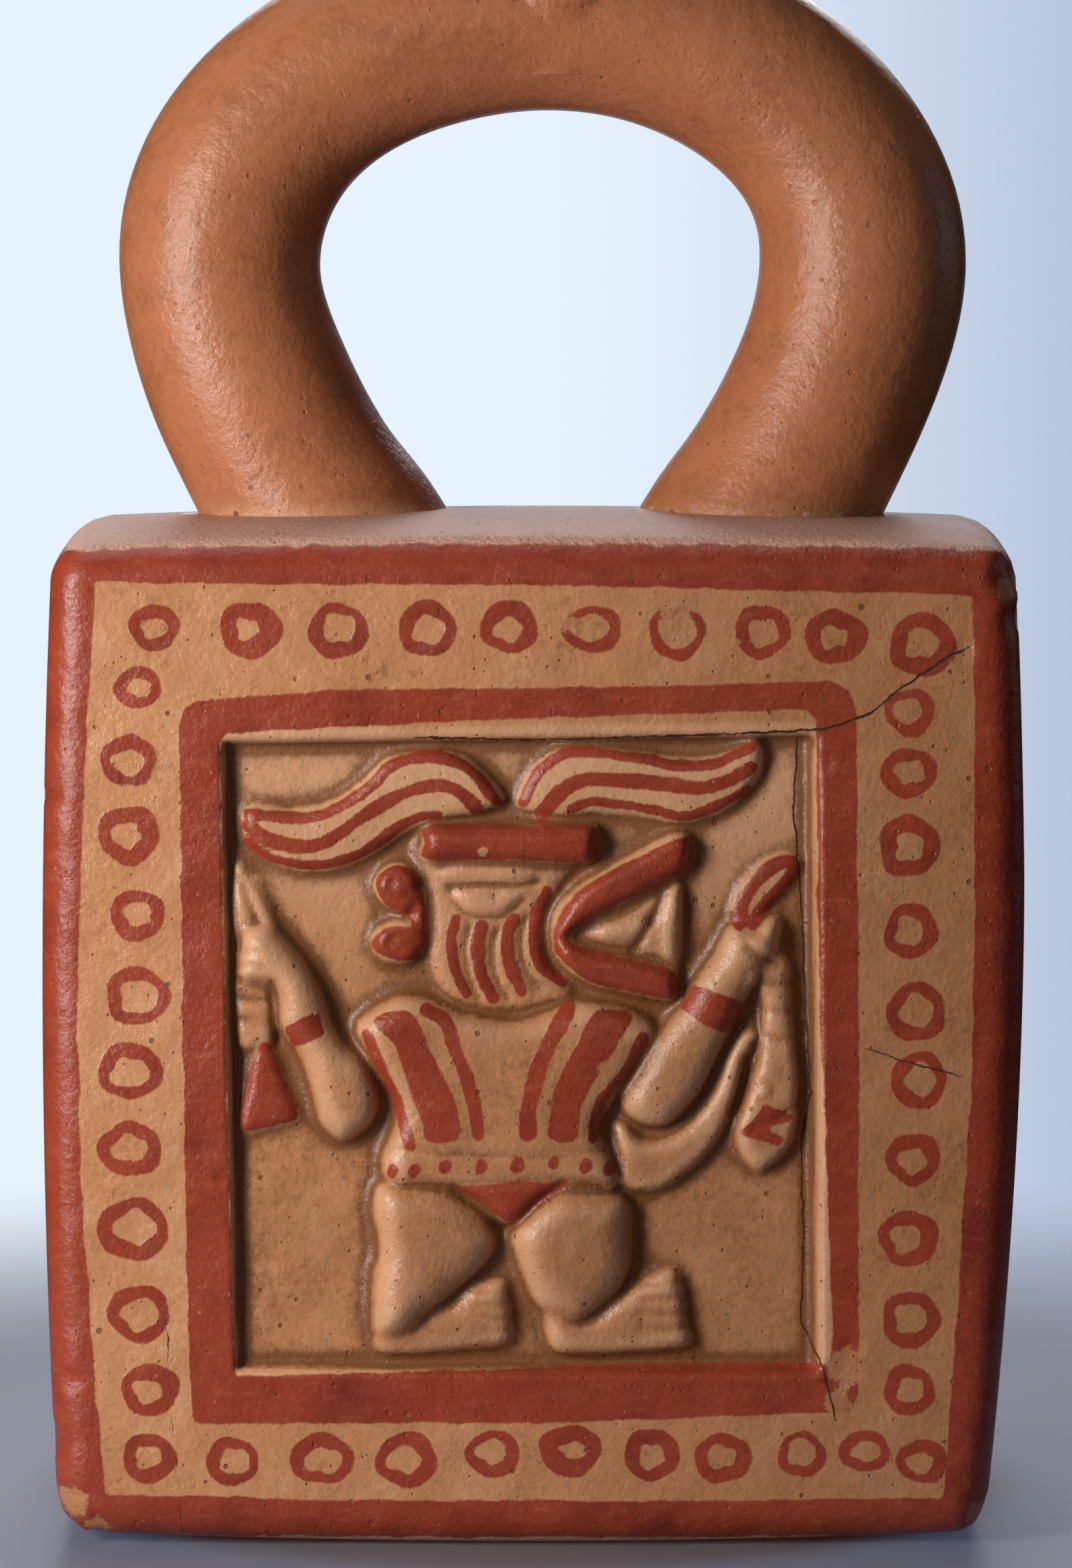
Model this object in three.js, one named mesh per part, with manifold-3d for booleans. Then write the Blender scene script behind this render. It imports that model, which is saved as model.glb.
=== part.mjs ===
// A stirrup spout bottle of fired clay, made in one piece: a pillow-sided box with a carved panel
// sunk in its front, a hollow stirrup handle that rises from the top, and a spout on the stirrup.
// The inside is open all the way, from the box through both legs of the stirrup to the mouth.
// Millimetres, +Z up, the front panel faces -Y, the origin is under the middle of the base.
import * as THREE from "three";
import { mergeVertices } from "three/addons/utils/BufferGeometryUtils.js";
import Module from "manifold-3d";

// The box. Its sides swell outwards from the edges by the amounts in SWELL.
const BODY = { halfWidth: 55.6, halfDepth: 38, low: 1.9, high: 116.6, edge: 4, lines: 12 };
const SWELL = { side: 1.5, belly: 0.4, face: 2, crown: 2.2, brow: 1.3 };
const LOWER_RIGHT_TUCK = { amount: 2.9, below: 80, power: 1.5 };
const WALL = 5.5;
const CAVITY_LINES = 6;

// The sunk panel on the front, with its walls sloping in towards the floor.
const PANEL = { left: -35.8, right: 33.2, low: 20.8, high: 95.4, corner: 2.2, slope: 1.1 };
const PANEL_FLOOR_Y = -36;
const PANEL_CUT = 10;
const CORNER_STEPS = 3;

// The stirrup: two legs that lean outwards, and an arch over them.
const STIRRUP = { middleX: 0.9, footHalf: 22.9, archHalf: 38.9, footZ: 112, springZ: 150, crownZ: 179.3 };
const TUBE = { radius: 12.3, crownThinning: 0.08, footFlare: 0.07, sides: 22, steps: 44 };
const BORE = { radius: 8.2, sides: 14, steps: 34 };
const LEG_BEND = { foot: 0.32, spring: 0.31, lean: 0.44 };
const QUARTER_ARC = 0.5523;

// The spout, nearly as wide as the stirrup tube.
const SPOUT = { x: 3, rootZ: 178, rimZ: 235, rootRadius: 11.4, neckRadius: 10.3, rimRadius: 10.9 };
const SPOUT_LIP = { flare: 7.6, chamfer: 1.2, chamferIn: 0.5 };
const SPOUT_WALL = { root: 4, rim: 2.9 };
const SPOUT_SIDES = 28;

// The carving: how far each part of the figure stands out from the panel floor.
const RELIEF = { low: 1.5, limb: 2.7, body: 3.2, jaw: 3.4, sunk: 1, bevel: 0.8 };
const CURVE_STEPS = 3;
const BAR_END_ANGLES = [-1.44, -0.48, 0.48, 1.44];

const wasm = await Module();
wasm.setup();

// Makes a closed three.js geometry into a solid that can be joined and cut.
function solid(geometry) {
  geometry.deleteAttribute("normal");
  geometry.deleteAttribute("uv");
  const merged = mergeVertices(geometry, 1e-4);
  return new wasm.Manifold(
    new wasm.Mesh({
      numProp: 3,
      vertProperties: merged.attributes.position.array,
      triVerts: new Uint32Array(merged.index.array),
    }),
  );
}

// Makes a solid back into a three.js geometry.
function geometryOf(made) {
  const mesh = made.getMesh();
  const geometry = new THREE.BufferGeometry();
  geometry.setAttribute("position", new THREE.BufferAttribute(mesh.vertProperties, 3));
  geometry.setIndex(new THREE.BufferAttribute(mesh.triVerts, 1));
  geometry.computeVertexNormals();
  return geometry;
}

function moved(geometry, visit) {
  const position = geometry.attributes.position;
  const point = new THREE.Vector3();
  for (let i = 0; i < position.count; i += 1) {
    point.fromBufferAttribute(position, i);
    visit(point);
    position.setXYZ(i, point.x, point.y, point.z);
  }
  return geometry;
}

// Rounds a point of a box towards its edges, by the usual rule of a ball rolled round a smaller box.
function roundEdges(point, half, edge) {
  const core = half.clone().subScalar(edge);
  const inner = point.clone().clamp(core.clone().negate(), core);
  point.sub(inner).setLength(edge).add(inner);
}

// Swells the sides of the box, each by the distance from its own edges.
function swell(point, half, middleZ) {
  const u = Math.min(Math.abs(point.x / half.x), 1);
  const v = Math.min(Math.abs(point.y / half.y), 1);
  const w = Math.min(Math.abs(point.z / half.z), 1);
  const [alongX, alongY, alongZ] = [1 - u * u, 1 - v * v, 1 - w * w];
  point.x *= 1 + (SWELL.side * alongZ + SWELL.belly * alongY) / half.x;
  point.y *= 1 + (SWELL.face * alongX * alongZ) / half.y;
  point.z *= 1 + (SWELL.crown * alongY + SWELL.brow * alongX) / half.z;
  point.z += middleZ;
}

// Leaves the base flat, and draws in the lower right corner, which sits a little tighter.
function settle(point) {
  const { amount, below, power } = LOWER_RIGHT_TUCK;
  const depth = Math.max(0, 1 - point.z / below) ** power;
  if (point.x > 0) point.x -= amount * depth * (point.x / BODY.halfWidth);
}

// The pillow-sided box, drawn in by inset on every side.
function pillow(inset, lines) {
  const half = new THREE.Vector3(BODY.halfWidth, BODY.halfDepth, (BODY.high - BODY.low) / 2);
  half.subScalar(inset);
  const middleZ = (BODY.high + BODY.low) / 2;
  const floorZ = inset;
  const box = new THREE.BoxGeometry(2, 2, 2, lines, lines, lines);
  return moved(box, (point) => {
    for (const axis of ["x", "y", "z"]) point[axis] = Math.sin((point[axis] * Math.PI) / 2) * half[axis];
    roundEdges(point, half, BODY.edge);
    swell(point, half, middleZ);
    settle(point);
    point.z = Math.max(point.z, floorZ);
  });
}

// Turns a shape drawn in (x, z) and extruded into a block that stands out towards the front.
function towardsFront(geometry, backY) {
  return geometry.rotateX(Math.PI / 2).translate(0, backY, 0);
}

function roundedRectangle({ left, right, low, high, corner }) {
  const shape = new THREE.Shape();
  shape.absarc(right - corner, high - corner, corner, 0, Math.PI / 2);
  shape.absarc(left + corner, high - corner, corner, Math.PI / 2, Math.PI);
  shape.absarc(left + corner, low + corner, corner, Math.PI, Math.PI * 1.5);
  shape.absarc(right - corner, low + corner, corner, Math.PI * 1.5, Math.PI * 2);
  return shape;
}

function panelBlock(outline) {
  return new THREE.ExtrudeGeometry(roundedRectangle(outline), {
    depth: PANEL_CUT,
    bevelEnabled: false,
    curveSegments: CORNER_STEPS,
  });
}

// The block that sinks the panel; its sides widen by the slope from the floor to the face.
function panelCutter() {
  const block = panelBlock(PANEL);
  towardsFront(block, PANEL_FLOOR_Y);
  const middle = { x: (PANEL.left + PANEL.right) / 2, z: (PANEL.low + PANEL.high) / 2 };
  const faceDepth = BODY.halfDepth + SWELL.face + PANEL_FLOOR_Y;
  return moved(block, (point) => {
    const inwards = PANEL.slope * (1 - Math.abs(point.y - PANEL_FLOOR_Y) / faceDepth);
    point.x -= Math.sign(point.x - middle.x) * inwards;
    point.z -= Math.sign(point.z - middle.z) * inwards;
  });
}

// The clay behind the sunk panel, which keeps the wall its full thickness there.
function panelBacking() {
  const grown = {
    left: PANEL.left - WALL,
    right: PANEL.right + WALL,
    low: PANEL.low - WALL,
    high: PANEL.high + WALL,
    corner: PANEL.corner + WALL,
  };
  return towardsFront(panelBlock(grown), PANEL_FLOOR_Y + WALL);
}

// The line down the middle of the stirrup tube, from foot to foot.
function stirrupLine() {
  const { middleX, footHalf, archHalf, footZ, springZ, crownZ } = STIRRUP;
  const at = (x, z) => new THREE.Vector3(middleX + x, 0, z);
  const rise = springZ - footZ;
  const archRise = crownZ - springZ;
  const leg = (side) => [
    at(side * footHalf, footZ),
    at(side * (footHalf + (archHalf - footHalf) * LEG_BEND.lean), footZ + rise * LEG_BEND.foot),
    at(side * archHalf, springZ - rise * LEG_BEND.spring),
    at(side * archHalf, springZ),
  ];
  const quarter = (side) => [
    at(side * archHalf, springZ),
    at(side * archHalf, springZ + archRise * QUARTER_ARC),
    at(side * archHalf * QUARTER_ARC, crownZ),
    at(0, crownZ),
  ];
  const line = new THREE.CurvePath();
  line.add(new THREE.CubicBezierCurve3(...leg(-1)));
  line.add(new THREE.CubicBezierCurve3(...quarter(-1)));
  line.add(new THREE.CubicBezierCurve3(...quarter(1).reverse()));
  line.add(new THREE.CubicBezierCurve3(...leg(1).reverse()));
  return line;
}

// The tube is a little thinner over the crown, and flares where it meets the top of the box.
function tubeSwell(z) {
  const { footZ, springZ, crownZ } = STIRRUP;
  const overArch = THREE.MathUtils.smoothstep(z, springZ, crownZ);
  const nearFoot = 1 - THREE.MathUtils.smoothstep(z, footZ, footZ + (springZ - footZ) / 2);
  return 1 - TUBE.crownThinning * overArch + TUBE.footFlare * nearFoot;
}

function stirrupTube({ radius, sides, steps }, swells) {
  const line = stirrupLine();
  const section = new THREE.Shape();
  section.absarc(0, 0, radius, 0, Math.PI * 2);
  const tube = new THREE.ExtrudeGeometry(section, {
    steps,
    extrudePath: line,
    curveSegments: sides / 2,
  });
  if (!swells) return tube;
  const centres = line.getSpacedPoints(steps);
  return moved(tube, (point) => {
    const nearest = centres.reduce((a, b) => (a.distanceTo(point) <= b.distanceTo(point) ? a : b));
    point.sub(nearest).multiplyScalar(tubeSwell(nearest.z)).add(nearest);
  });
}

// Turns a profile of [radius, height] pairs about the spout's own axis.
function turned(profile) {
  const points = profile.map(([radius, height]) => new THREE.Vector2(radius, height));
  const lathe = new THREE.LatheGeometry(points, SPOUT_SIDES);
  return lathe.rotateX(Math.PI / 2).translate(SPOUT.x, 0, 0);
}

function spoutBody() {
  const { rootZ, rimZ, rootRadius, neckRadius, rimRadius } = SPOUT;
  return turned([
    [0, rootZ],
    [rootRadius, rootZ],
    [neckRadius, rimZ - SPOUT_LIP.flare],
    [rimRadius, rimZ - SPOUT_LIP.chamfer],
    [rimRadius - SPOUT_LIP.chamferIn, rimZ],
    [0, rimZ],
  ]);
}

function spoutBore() {
  const { rootZ, rimZ, rootRadius, rimRadius } = SPOUT;
  const past = 2;
  return turned([
    [0, rootZ],
    [rootRadius - SPOUT_WALL.root, rootZ],
    [rimRadius - SPOUT_WALL.rim, rimZ + past],
    [0, rimZ + past],
  ]);
}

// One raised part of the figure: a smooth outline through its corners, pillowed at the edge.
function raised(corners, height) {
  const outline = new THREE.CatmullRomCurve3(
    corners.map(([x, z]) => new THREE.Vector3(x, z, 0)),
    true,
    "centripetal",
  );
  const points = outline.getSpacedPoints(corners.length * CURVE_STEPS);
  const shape = new THREE.Shape(points.slice(0, -1).map((p) => new THREE.Vector2(p.x, p.y)));
  const block = new THREE.ExtrudeGeometry(shape, {
    depth: height + RELIEF.sunk - 2 * RELIEF.bevel,
    bevelThickness: RELIEF.bevel,
    bevelSize: RELIEF.bevel,
    bevelOffset: -RELIEF.bevel,
    bevelSegments: 1,
  });
  return solid(towardsFront(block, PANEL_FLOOR_Y + RELIEF.sunk - RELIEF.bevel));
}

// A straight raised bar with round ends, from one point of the panel to another.
function bar([x0, z0], [x1, z1], width, height) {
  const turn = Math.atan2(z1 - z0, x1 - x0);
  const ends = [
    [x0, z0, turn + Math.PI],
    [x1, z1, turn],
  ];
  const corners = ends.flatMap(([x, z, facing]) =>
    BAR_END_ANGLES.map((swing) => [
      x + (width / 2) * Math.cos(facing + swing),
      z + (width / 2) * Math.sin(facing + swing),
    ]),
  );
  return raised(corners, height);
}

function headParts() {
  const leftPlume = [
    [-34, 84.5], [-27, 87.4], [-22.5, 88.6], [-18, 91.6], [-12, 94.3], [-6, 92], [-2.4, 86.6],
    [-9, 85.4], [-15, 83], [-21, 79.6], [-27, 79], [-32, 81],
  ];
  const rightPlume = [
    [-1.8, 87], [1, 92], [5, 94.4], [12, 94], [18, 93], [25.8, 95.2], [26.2, 90], [22.4, 86.2],
    [17, 84.6], [10, 85.8], [4, 85.4],
  ];
  const face = [
    [-12, 80.6], [-4, 81], [5, 80.8], [4.4, 75], [3.4, 68], [2, 64], [-5, 62.8], [-10, 65], [-12.4, 72],
  ];
  const ear = [
    [-12.4, 77.6], [-15.4, 80.2], [-18.6, 77.6], [-16.8, 74.4], [-18.8, 70.6], [-15.6, 67.8], [-12.6, 70.4],
  ];
  const jaws = [
    [2, 76], [10, 81.4], [17.6, 84.6], [18.6, 80.6], [17, 78], [17, 64.4], [9, 65.6], [3.6, 67.6], [1.4, 72],
  ];
  const headband = bar([-10.4, 82.8], [4.6, 82.8], 5.2, RELIEF.jaw);
  const upperLip = bar([4.6, 74.4], [16, 81.4], 3.6, RELIEF.jaw);
  const lowerLip = bar([4.4, 70.6], [15.4, 66.8], 3.6, RELIEF.jaw);
  return [
    raised(leftPlume, RELIEF.limb),
    raised(rightPlume, RELIEF.limb),
    raised(face, RELIEF.limb),
    raised(ear, RELIEF.body),
    raised(jaws, RELIEF.low),
    headband,
    upperLip,
    lowerLip,
  ];
}

function bodyParts() {
  const torso = [
    [-20.4, 61.6], [-16, 64.8], [-9, 63.2], [-4, 61.8], [4, 64.2], [10, 64], [14.8, 60.4], [12.6, 55.6],
    [9.8, 50], [10.4, 42.4], [-3, 38.6], [-16.8, 42.4], [-16.4, 50], [-18, 56],
  ];
  const leftLeg = [
    [-17.6, 43], [-18.2, 33], [-17.4, 23.6], [-9, 22.8], [-2.6, 23.8], [-2.4, 30.8], [-7.6, 31.4],
    [-4.6, 37.6], [-8, 42.6],
  ];
  const rightLeg = [
    [3, 42.4], [-1.6, 37.4], [0.6, 30], [4, 23.6], [11, 22.8], [18, 23.8], [17, 31.6], [11.2, 31], [11.2, 42.2],
  ];
  return [raised(torso, RELIEF.body), raised(leftLeg, RELIEF.limb), raised(rightLeg, RELIEF.limb)];
}

function armParts() {
  const leftArm = [
    [-33.6, 72.6], [-30, 73.6], [-26, 67.8], [-23, 61], [-18.2, 54], [-20, 48.8], [-24.6, 50.2], [-28.4, 58],
    [-30.6, 65.4], [-34, 68],
  ];
  const leftBlade = [[-33.6, 51], [-31.4, 59], [-27.6, 51.6]];
  const rightArm = [
    [13.8, 51.6], [12.4, 56], [16.6, 62.4], [18.4, 68], [22.4, 74.4], [25.6, 79.6], [29.8, 80.6],
    [28, 73], [25.4, 66], [22.6, 59], [19, 51.6],
  ];
  const serpent = [
    [25.4, 70], [29.6, 69], [30.2, 58], [30.4, 49], [26, 45], [22.8, 47.8], [25, 58],
  ];
  const sash = [
    [10.8, 48.6], [17, 48.8], [21.4, 53.6], [23.2, 61], [26.4, 61], [25, 52.6], [21, 46], [16.4, 43.6], [10.6, 43.6],
  ];
  const staff = bar([-32, 77.6], [-32, 61], 3.6, RELIEF.low);
  return [
    raised(leftArm, RELIEF.body),
    staff,
    raised(leftBlade, RELIEF.limb),
    raised(rightArm, RELIEF.body),
    raised(serpent, RELIEF.limb),
    raised(sash, RELIEF.low),
  ];
}

function join(parts) {
  return parts.reduce((whole, part) => whole.add(part));
}

function vessel() {
  const box = solid(pillow(0, BODY.lines)).subtract(solid(panelCutter()));
  const figure = join([...headParts(), ...bodyParts(), ...armParts()]);
  const outside = join([box, figure, solid(stirrupTube(TUBE, true)), solid(spoutBody())]);
  const cavity = solid(pillow(WALL, CAVITY_LINES)).subtract(solid(panelBacking()));
  const inside = join([cavity, solid(stirrupTube(BORE, false)), solid(spoutBore())]);
  return outside.subtract(inside);
}

const clay = new THREE.MeshStandardMaterial({ color: 0xb47a4c, roughness: 0.45, metalness: 0 });
const bottle = new THREE.Mesh(geometryOf(vessel()), clay);
bottle.name = "vessel";

const group = new THREE.Group();
group.add(bottle);

export default group;
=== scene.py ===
"""A stirrup spout bottle of slip-painted clay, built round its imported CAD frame.

The bottle is one hollow piece: a pillow-sided box with a carved panel sunk in its front, a tubular
stirrup handle and an upright spout. Lengths are written in millimetres, and turned into metres where
a mesh, a lamp or a shader needs them. +Z is up, and the carved panel faces -Y.
"""

import logging
import math
from collections.abc import Callable
from dataclasses import dataclass, field, replace
from enum import Enum
from typing import ClassVar

import bmesh
import bpy
import numpy as np
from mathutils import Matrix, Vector

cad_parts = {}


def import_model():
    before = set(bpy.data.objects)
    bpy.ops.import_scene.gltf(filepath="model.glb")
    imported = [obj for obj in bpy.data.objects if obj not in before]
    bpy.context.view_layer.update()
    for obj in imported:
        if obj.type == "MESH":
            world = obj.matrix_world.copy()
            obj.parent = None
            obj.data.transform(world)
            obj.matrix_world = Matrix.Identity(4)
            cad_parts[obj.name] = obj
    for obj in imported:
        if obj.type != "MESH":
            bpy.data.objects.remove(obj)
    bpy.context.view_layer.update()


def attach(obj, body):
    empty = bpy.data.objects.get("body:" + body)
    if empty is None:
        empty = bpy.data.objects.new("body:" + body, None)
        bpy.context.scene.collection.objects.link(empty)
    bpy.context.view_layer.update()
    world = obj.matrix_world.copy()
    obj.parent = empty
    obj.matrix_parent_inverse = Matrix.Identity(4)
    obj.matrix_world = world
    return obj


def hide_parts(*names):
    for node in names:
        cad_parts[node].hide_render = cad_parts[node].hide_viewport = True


LOG = logging.getLogger("stirrup_bottle")
MM = 0.001
NODE = "vessel"
BODY = "root"
FAR = 6.0

Array = np.ndarray
Point = tuple[float, float]
Point3 = tuple[float, float, float]
Colour = tuple[float, float, float]


# --- Lines, outlines and small sums ---


def smooth(low: float, high: float, value: Array) -> Array:
    """Rises softly from 0 at low to 1 at high.

    Args:
        low: The value where the rise starts.
        high: The value where it ends.
        value: Where to read the rise.

    Returns:
        The rise, from 0 to 1, for each value.
    """
    share = np.clip((value - low) / (high - low), 0.0, 1.0)
    return share * share * (3.0 - 2.0 * share)


def softened(values: Array, cells: int) -> Array:
    """Blurs a grid of values.

    Args:
        values: The grid.
        cells: The radius of the blur in cells.

    Returns:
        The blurred grid, of the same size.
    """
    reach = 2 * cells
    weights = np.exp(-0.5 * (np.arange(-reach, reach + 1) / cells) ** 2)
    weights /= weights.sum()
    blurred = values
    for axis in (0, 1):
        pads = [(0, 0), (0, 0)]
        pads[axis] = (reach, reach)
        wide = np.pad(blurred, pads, mode="edge")
        length = values.shape[axis]
        blurred = sum(
            weight * np.take(wide, range(shift, shift + length), axis=axis)
            for shift, weight in enumerate(weights)
        )
    return blurred


def curved(points: tuple[Point, ...], closed: bool, step: float = 0.45) -> Array:
    """Runs a smooth line through a few points.

    Args:
        points: The points (x, z) in millimetres.
        closed: True if the line returns to its start.
        step: The length of one stretch of the result.

    Returns:
        The points of the smooth line, one a row.
    """
    knots = np.array(points, float)
    if closed:
        whole = np.vstack([knots[-1:], knots, knots[:2]])
    else:
        whole = np.vstack([2 * knots[0] - knots[1], knots, 2 * knots[-1] - knots[-2]])
    stretches = []
    for a, b, c, d in zip(whole[:-3], whole[1:-2], whole[2:-1], whole[3:]):
        count = max(2, int(np.hypot(*(c - b)) / step))
        t = (np.arange(count) / count)[:, None]
        bend = (2 * a - 5 * b + 4 * c - d) * t * t + (3 * b - a - 3 * c + d) * t**3
        stretches.append(0.5 * (2 * b + (c - a) * t + bend))
    if not closed:
        stretches.append(knots[-1:])
    return np.vstack(stretches)


def distance(line: Array, closed: bool, x: Array, z: Array) -> Array:
    """Measures how far points are from a line.

    Args:
        line: The points of the line.
        closed: True if the line returns to its start.
        x: Where to measure, across.
        z: Where to measure, upwards.

    Returns:
        The distance at each point.
    """
    starts, ends = (line, np.roll(line, -1, 0)) if closed else (line[:-1], line[1:])
    nearest = np.full(x.shape, 1e9)
    for (ax, az), (bx, bz) in zip(starts, ends):
        dx, dz = bx - ax, bz - az
        along = np.clip(((x - ax) * dx + (z - az) * dz) / (dx * dx + dz * dz + 1e-12), 0.0, 1.0)
        gap = (x - ax - along * dx) ** 2 + (z - az - along * dz) ** 2
        np.minimum(nearest, gap, out=nearest)
    return np.sqrt(nearest)


def inside(line: Array, x: Array, z: Array) -> Array:
    """Tells which points lie inside a closed line.

    Args:
        line: The points of the closed line.
        x: Where to look, across.
        z: Where to look, upwards.

    Returns:
        True for each point inside.
    """
    within = np.zeros(x.shape, bool)
    for (ax, az), (bx, bz) in zip(line, np.roll(line, -1, 0)):
        if az == bz:
            continue
        spans = (az > z) != (bz > z)
        within ^= spans & (x < (bx - ax) * (z - az) / (bz - az) + ax)
    return within


@dataclass(frozen=True)
class Outline:
    """A closed shape on the front, through a few points (x, z).

    Attributes:
        points: The points it runs through.
        sharp: True if it runs straight between them.
    """

    points: tuple[Point, ...]
    sharp: bool = False

    def edge(self, x: Array, z: Array) -> Array:
        """Returns the distance from the edge at each point, negative inside."""
        line = np.array(self.points, float) if self.sharp else curved(self.points, True)
        away = distance(line, True, x, z)
        return np.where(inside(line, x, z), -away, away)


@dataclass(frozen=True)
class Stroke:
    """A brush stroke or a drawn line on the front.

    Attributes:
        points: The points (x, z) it runs through.
        width: Its full width.
    """

    points: tuple[Point, ...]
    width: float

    def edge(self, x: Array, z: Array) -> Array:
        """Returns the distance from the stroke's edge at each point, negative inside."""
        return distance(curved(self.points, False), False, x, z) - self.width / 2


# --- The carved figure ---


@dataclass(frozen=True)
class Raised:
    """A part of the figure that stands out from the panel, rounded at its edge.

    Attributes:
        points: Its outline.
        height: How far it stands out.
        edge: How wide its rounded edge is.
        crown: How much more its middle bulges.
        lean: How its height changes for each millimetre across and upwards, as a share.
        BULGE_REACH: How far from the edge the bulge has nearly reached its height.
        SKIRT: How high the clay is drawn up round it, as a share of its height.
        SKIRT_REACH: How far that soft skirt spreads.
        SKIRT_END: Where it is cut off.
        MELT: How softly the part runs into what it lies on.
    """

    points: tuple[Point, ...]
    height: float
    edge: float = 1.5
    crown: float = 0.4
    lean: Point = (0.0, 0.0)
    BULGE_REACH: ClassVar[float] = 4.0
    SKIRT: ClassVar[float] = 0.14
    SKIRT_REACH: ClassVar[float] = 0.8
    SKIRT_END: ClassVar[float] = 2.2
    MELT: ClassVar[float] = 0.5

    def over(self, under: Array, x: Array, z: Array) -> Array:
        """Lays this part over what is there.

        Args:
            under: The heights so far.
            x: The places, across.
            z: The places, upwards.

        Returns:
            The heights with this part on them.
        """
        depth = -Outline(self.points).edge(x, z)
        share = np.clip(depth / self.edge, 0.0, 1.0)
        middle = np.mean(self.points, axis=0)
        tilt = 1.0 + self.lean[0] * (x - middle[0]) + self.lean[1] * (z - middle[1])
        rise = self.height * np.sqrt(1.0 - (1.0 - share) ** 2) * np.clip(tilt, 0.1, 1.6)
        rise += self.crown * (1.0 - np.exp(-np.maximum(depth, 0.0) / self.BULGE_REACH))
        rise += self.SKIRT * self.height * np.exp(-((np.minimum(depth, 0.0) / self.SKIRT_REACH) ** 2))
        rise = np.where(depth > -self.SKIRT_END, rise, 0.0)
        overlap = np.maximum(self.MELT - np.abs(under - rise), 0.0) ** 2 / (4 * self.MELT)
        lower = np.clip(np.minimum(under, rise) / self.MELT, 0.0, 1.0)
        return np.maximum(under, rise) + overlap * lower


@dataclass(frozen=True)
class Drawn:
    """A soft ridge along a line, or a groove where its height is negative.

    Attributes:
        points: The points (x, z) it runs through.
        width: Its width at half its height.
        height: How far it stands out or sinks in.
    """

    points: tuple[Point, ...]
    width: float
    height: float

    def over(self, under: Array, x: Array, z: Array) -> Array:
        """Returns the heights once this line is drawn in what is there."""
        away = distance(curved(self.points, False), False, x, z)
        bell = 0.5 + 0.5 * np.cos(np.pi * np.minimum(away / self.width, 1.0))
        return under + self.height * bell


LEFT_PLUME = (
    (-33.8, 85.0), (-32.2, 81.9), (-28.2, 79.8), (-22.8, 79.7), (-18.4, 81.4), (-14.9, 83.7),
    (-11.0, 85.0), (-6.0, 86.2), (-3.4, 88.0), (-6.2, 91.6), (-9.2, 93.5), (-12.8, 94.0), (-17.0, 92.8),
    (-19.8, 90.2), (-23.2, 87.9), (-28.0, 86.9), (-32.6, 87.2),
)
RIGHT_PLUME = (
    (-1.9, 87.2), (-0.4, 91.3), (3.0, 94.2), (7.6, 94.3), (12.4, 93.6), (17.0, 92.8), (21.6, 93.3),
    (25.4, 95.1), (26.6, 94.0), (26.2, 90.8), (24.2, 88.0), (21.4, 86.1), (17.0, 84.9), (12.0, 85.7),
    (7.0, 86.0), (2.6, 85.6),
)
HEADBAND = (
    (-12.8, 82.8), (-12.0, 80.9), (-4.0, 80.7), (5.4, 80.3), (7.0, 81.0), (7.4, 83.4), (6.4, 85.0),
    (-3.0, 85.1), (-12.0, 84.9),
)
HEAD = (
    (-12.6, 84.0), (6.0, 84.0), (5.2, 80.0), (3.2, 77.6), (1.6, 73.0), (2.0, 68.6), (4.8, 65.4),
    (3.0, 63.4), (-4.0, 62.6), (-9.6, 64.2), (-12.2, 69.0), (-12.6, 76.0),
)
JAWS = (
    (1.6, 74.0), (5.0, 78.2), (11.0, 81.7), (15.8, 84.1), (18.0, 83.6), (18.2, 81.0), (17.3, 78.6),
    (17.4, 73.0), (17.0, 68.0), (16.5, 64.2), (12.0, 64.6), (6.4, 66.0), (2.4, 69.2),
)
UPPER_LIP = (
    (2.3, 72.2), (4.6, 77.0), (8.4, 79.6), (12.0, 81.6), (16.0, 83.8), (18.0, 83.4), (18.0, 80.8),
    (16.8, 79.3), (12.6, 77.0), (8.0, 74.7), (4.6, 72.6), (3.6, 71.6),
)
LOWER_LIP = (
    (2.3, 72.2), (3.8, 71.8), (7.0, 70.4), (11.8, 69.3), (15.9, 68.2), (16.7, 66.2), (16.2, 64.5),
    (11.8, 65.2), (6.4, 66.7), (3.2, 69.0),
)
EAR_TOP = (
    (-13.0, 76.2), (-13.2, 79.0), (-15.4, 80.6), (-17.8, 79.6), (-18.4, 77.3), (-16.9, 75.3),
    (-14.6, 74.5),
)
EAR_LOBE = (
    (-13.2, 73.6), (-15.6, 74.2), (-18.4, 72.6), (-18.6, 70.4), (-16.8, 68.9), (-14.0, 69.0),
    (-12.8, 71.0),
)
EAR_STRIP = ((-12.6, 78.0), (-14.0, 76.0), (-13.9, 72.0), (-13.4, 69.8), (-12.3, 71.0), (-12.2, 75.0))
EYE = ((-9.8, 77.8), (-8.8, 75.2), (-6.2, 74.0), (-3.4, 74.2), (-1.2, 76.0), (0.2, 78.2), (-4.6, 78.4))
BROW = ((-11.2, 79.2), (-8.2, 80.9), (-3.4, 81.0), (0.6, 79.8), (0.2, 78.4), (-3.8, 77.8), (-8.4, 77.9))
TORSO = (
    (-20.6, 61.8), (-16.6, 64.8), (-12.8, 65.0), (-7.4, 63.2), (-1.9, 62.6), (5.0, 64.6), (11.2, 63.6),
    (14.6, 60.8), (12.4, 56.8), (9.6, 52.6), (7.9, 49.6), (9.6, 45.6), (9.8, 42.4), (3.0, 41.4),
    (-3.0, 38.0), (-8.4, 41.4), (-16.2, 41.8), (-17.8, 45.6), (-16.4, 50.2), (-16.6, 53.4),
    (-19.4, 58.0),
)
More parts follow.
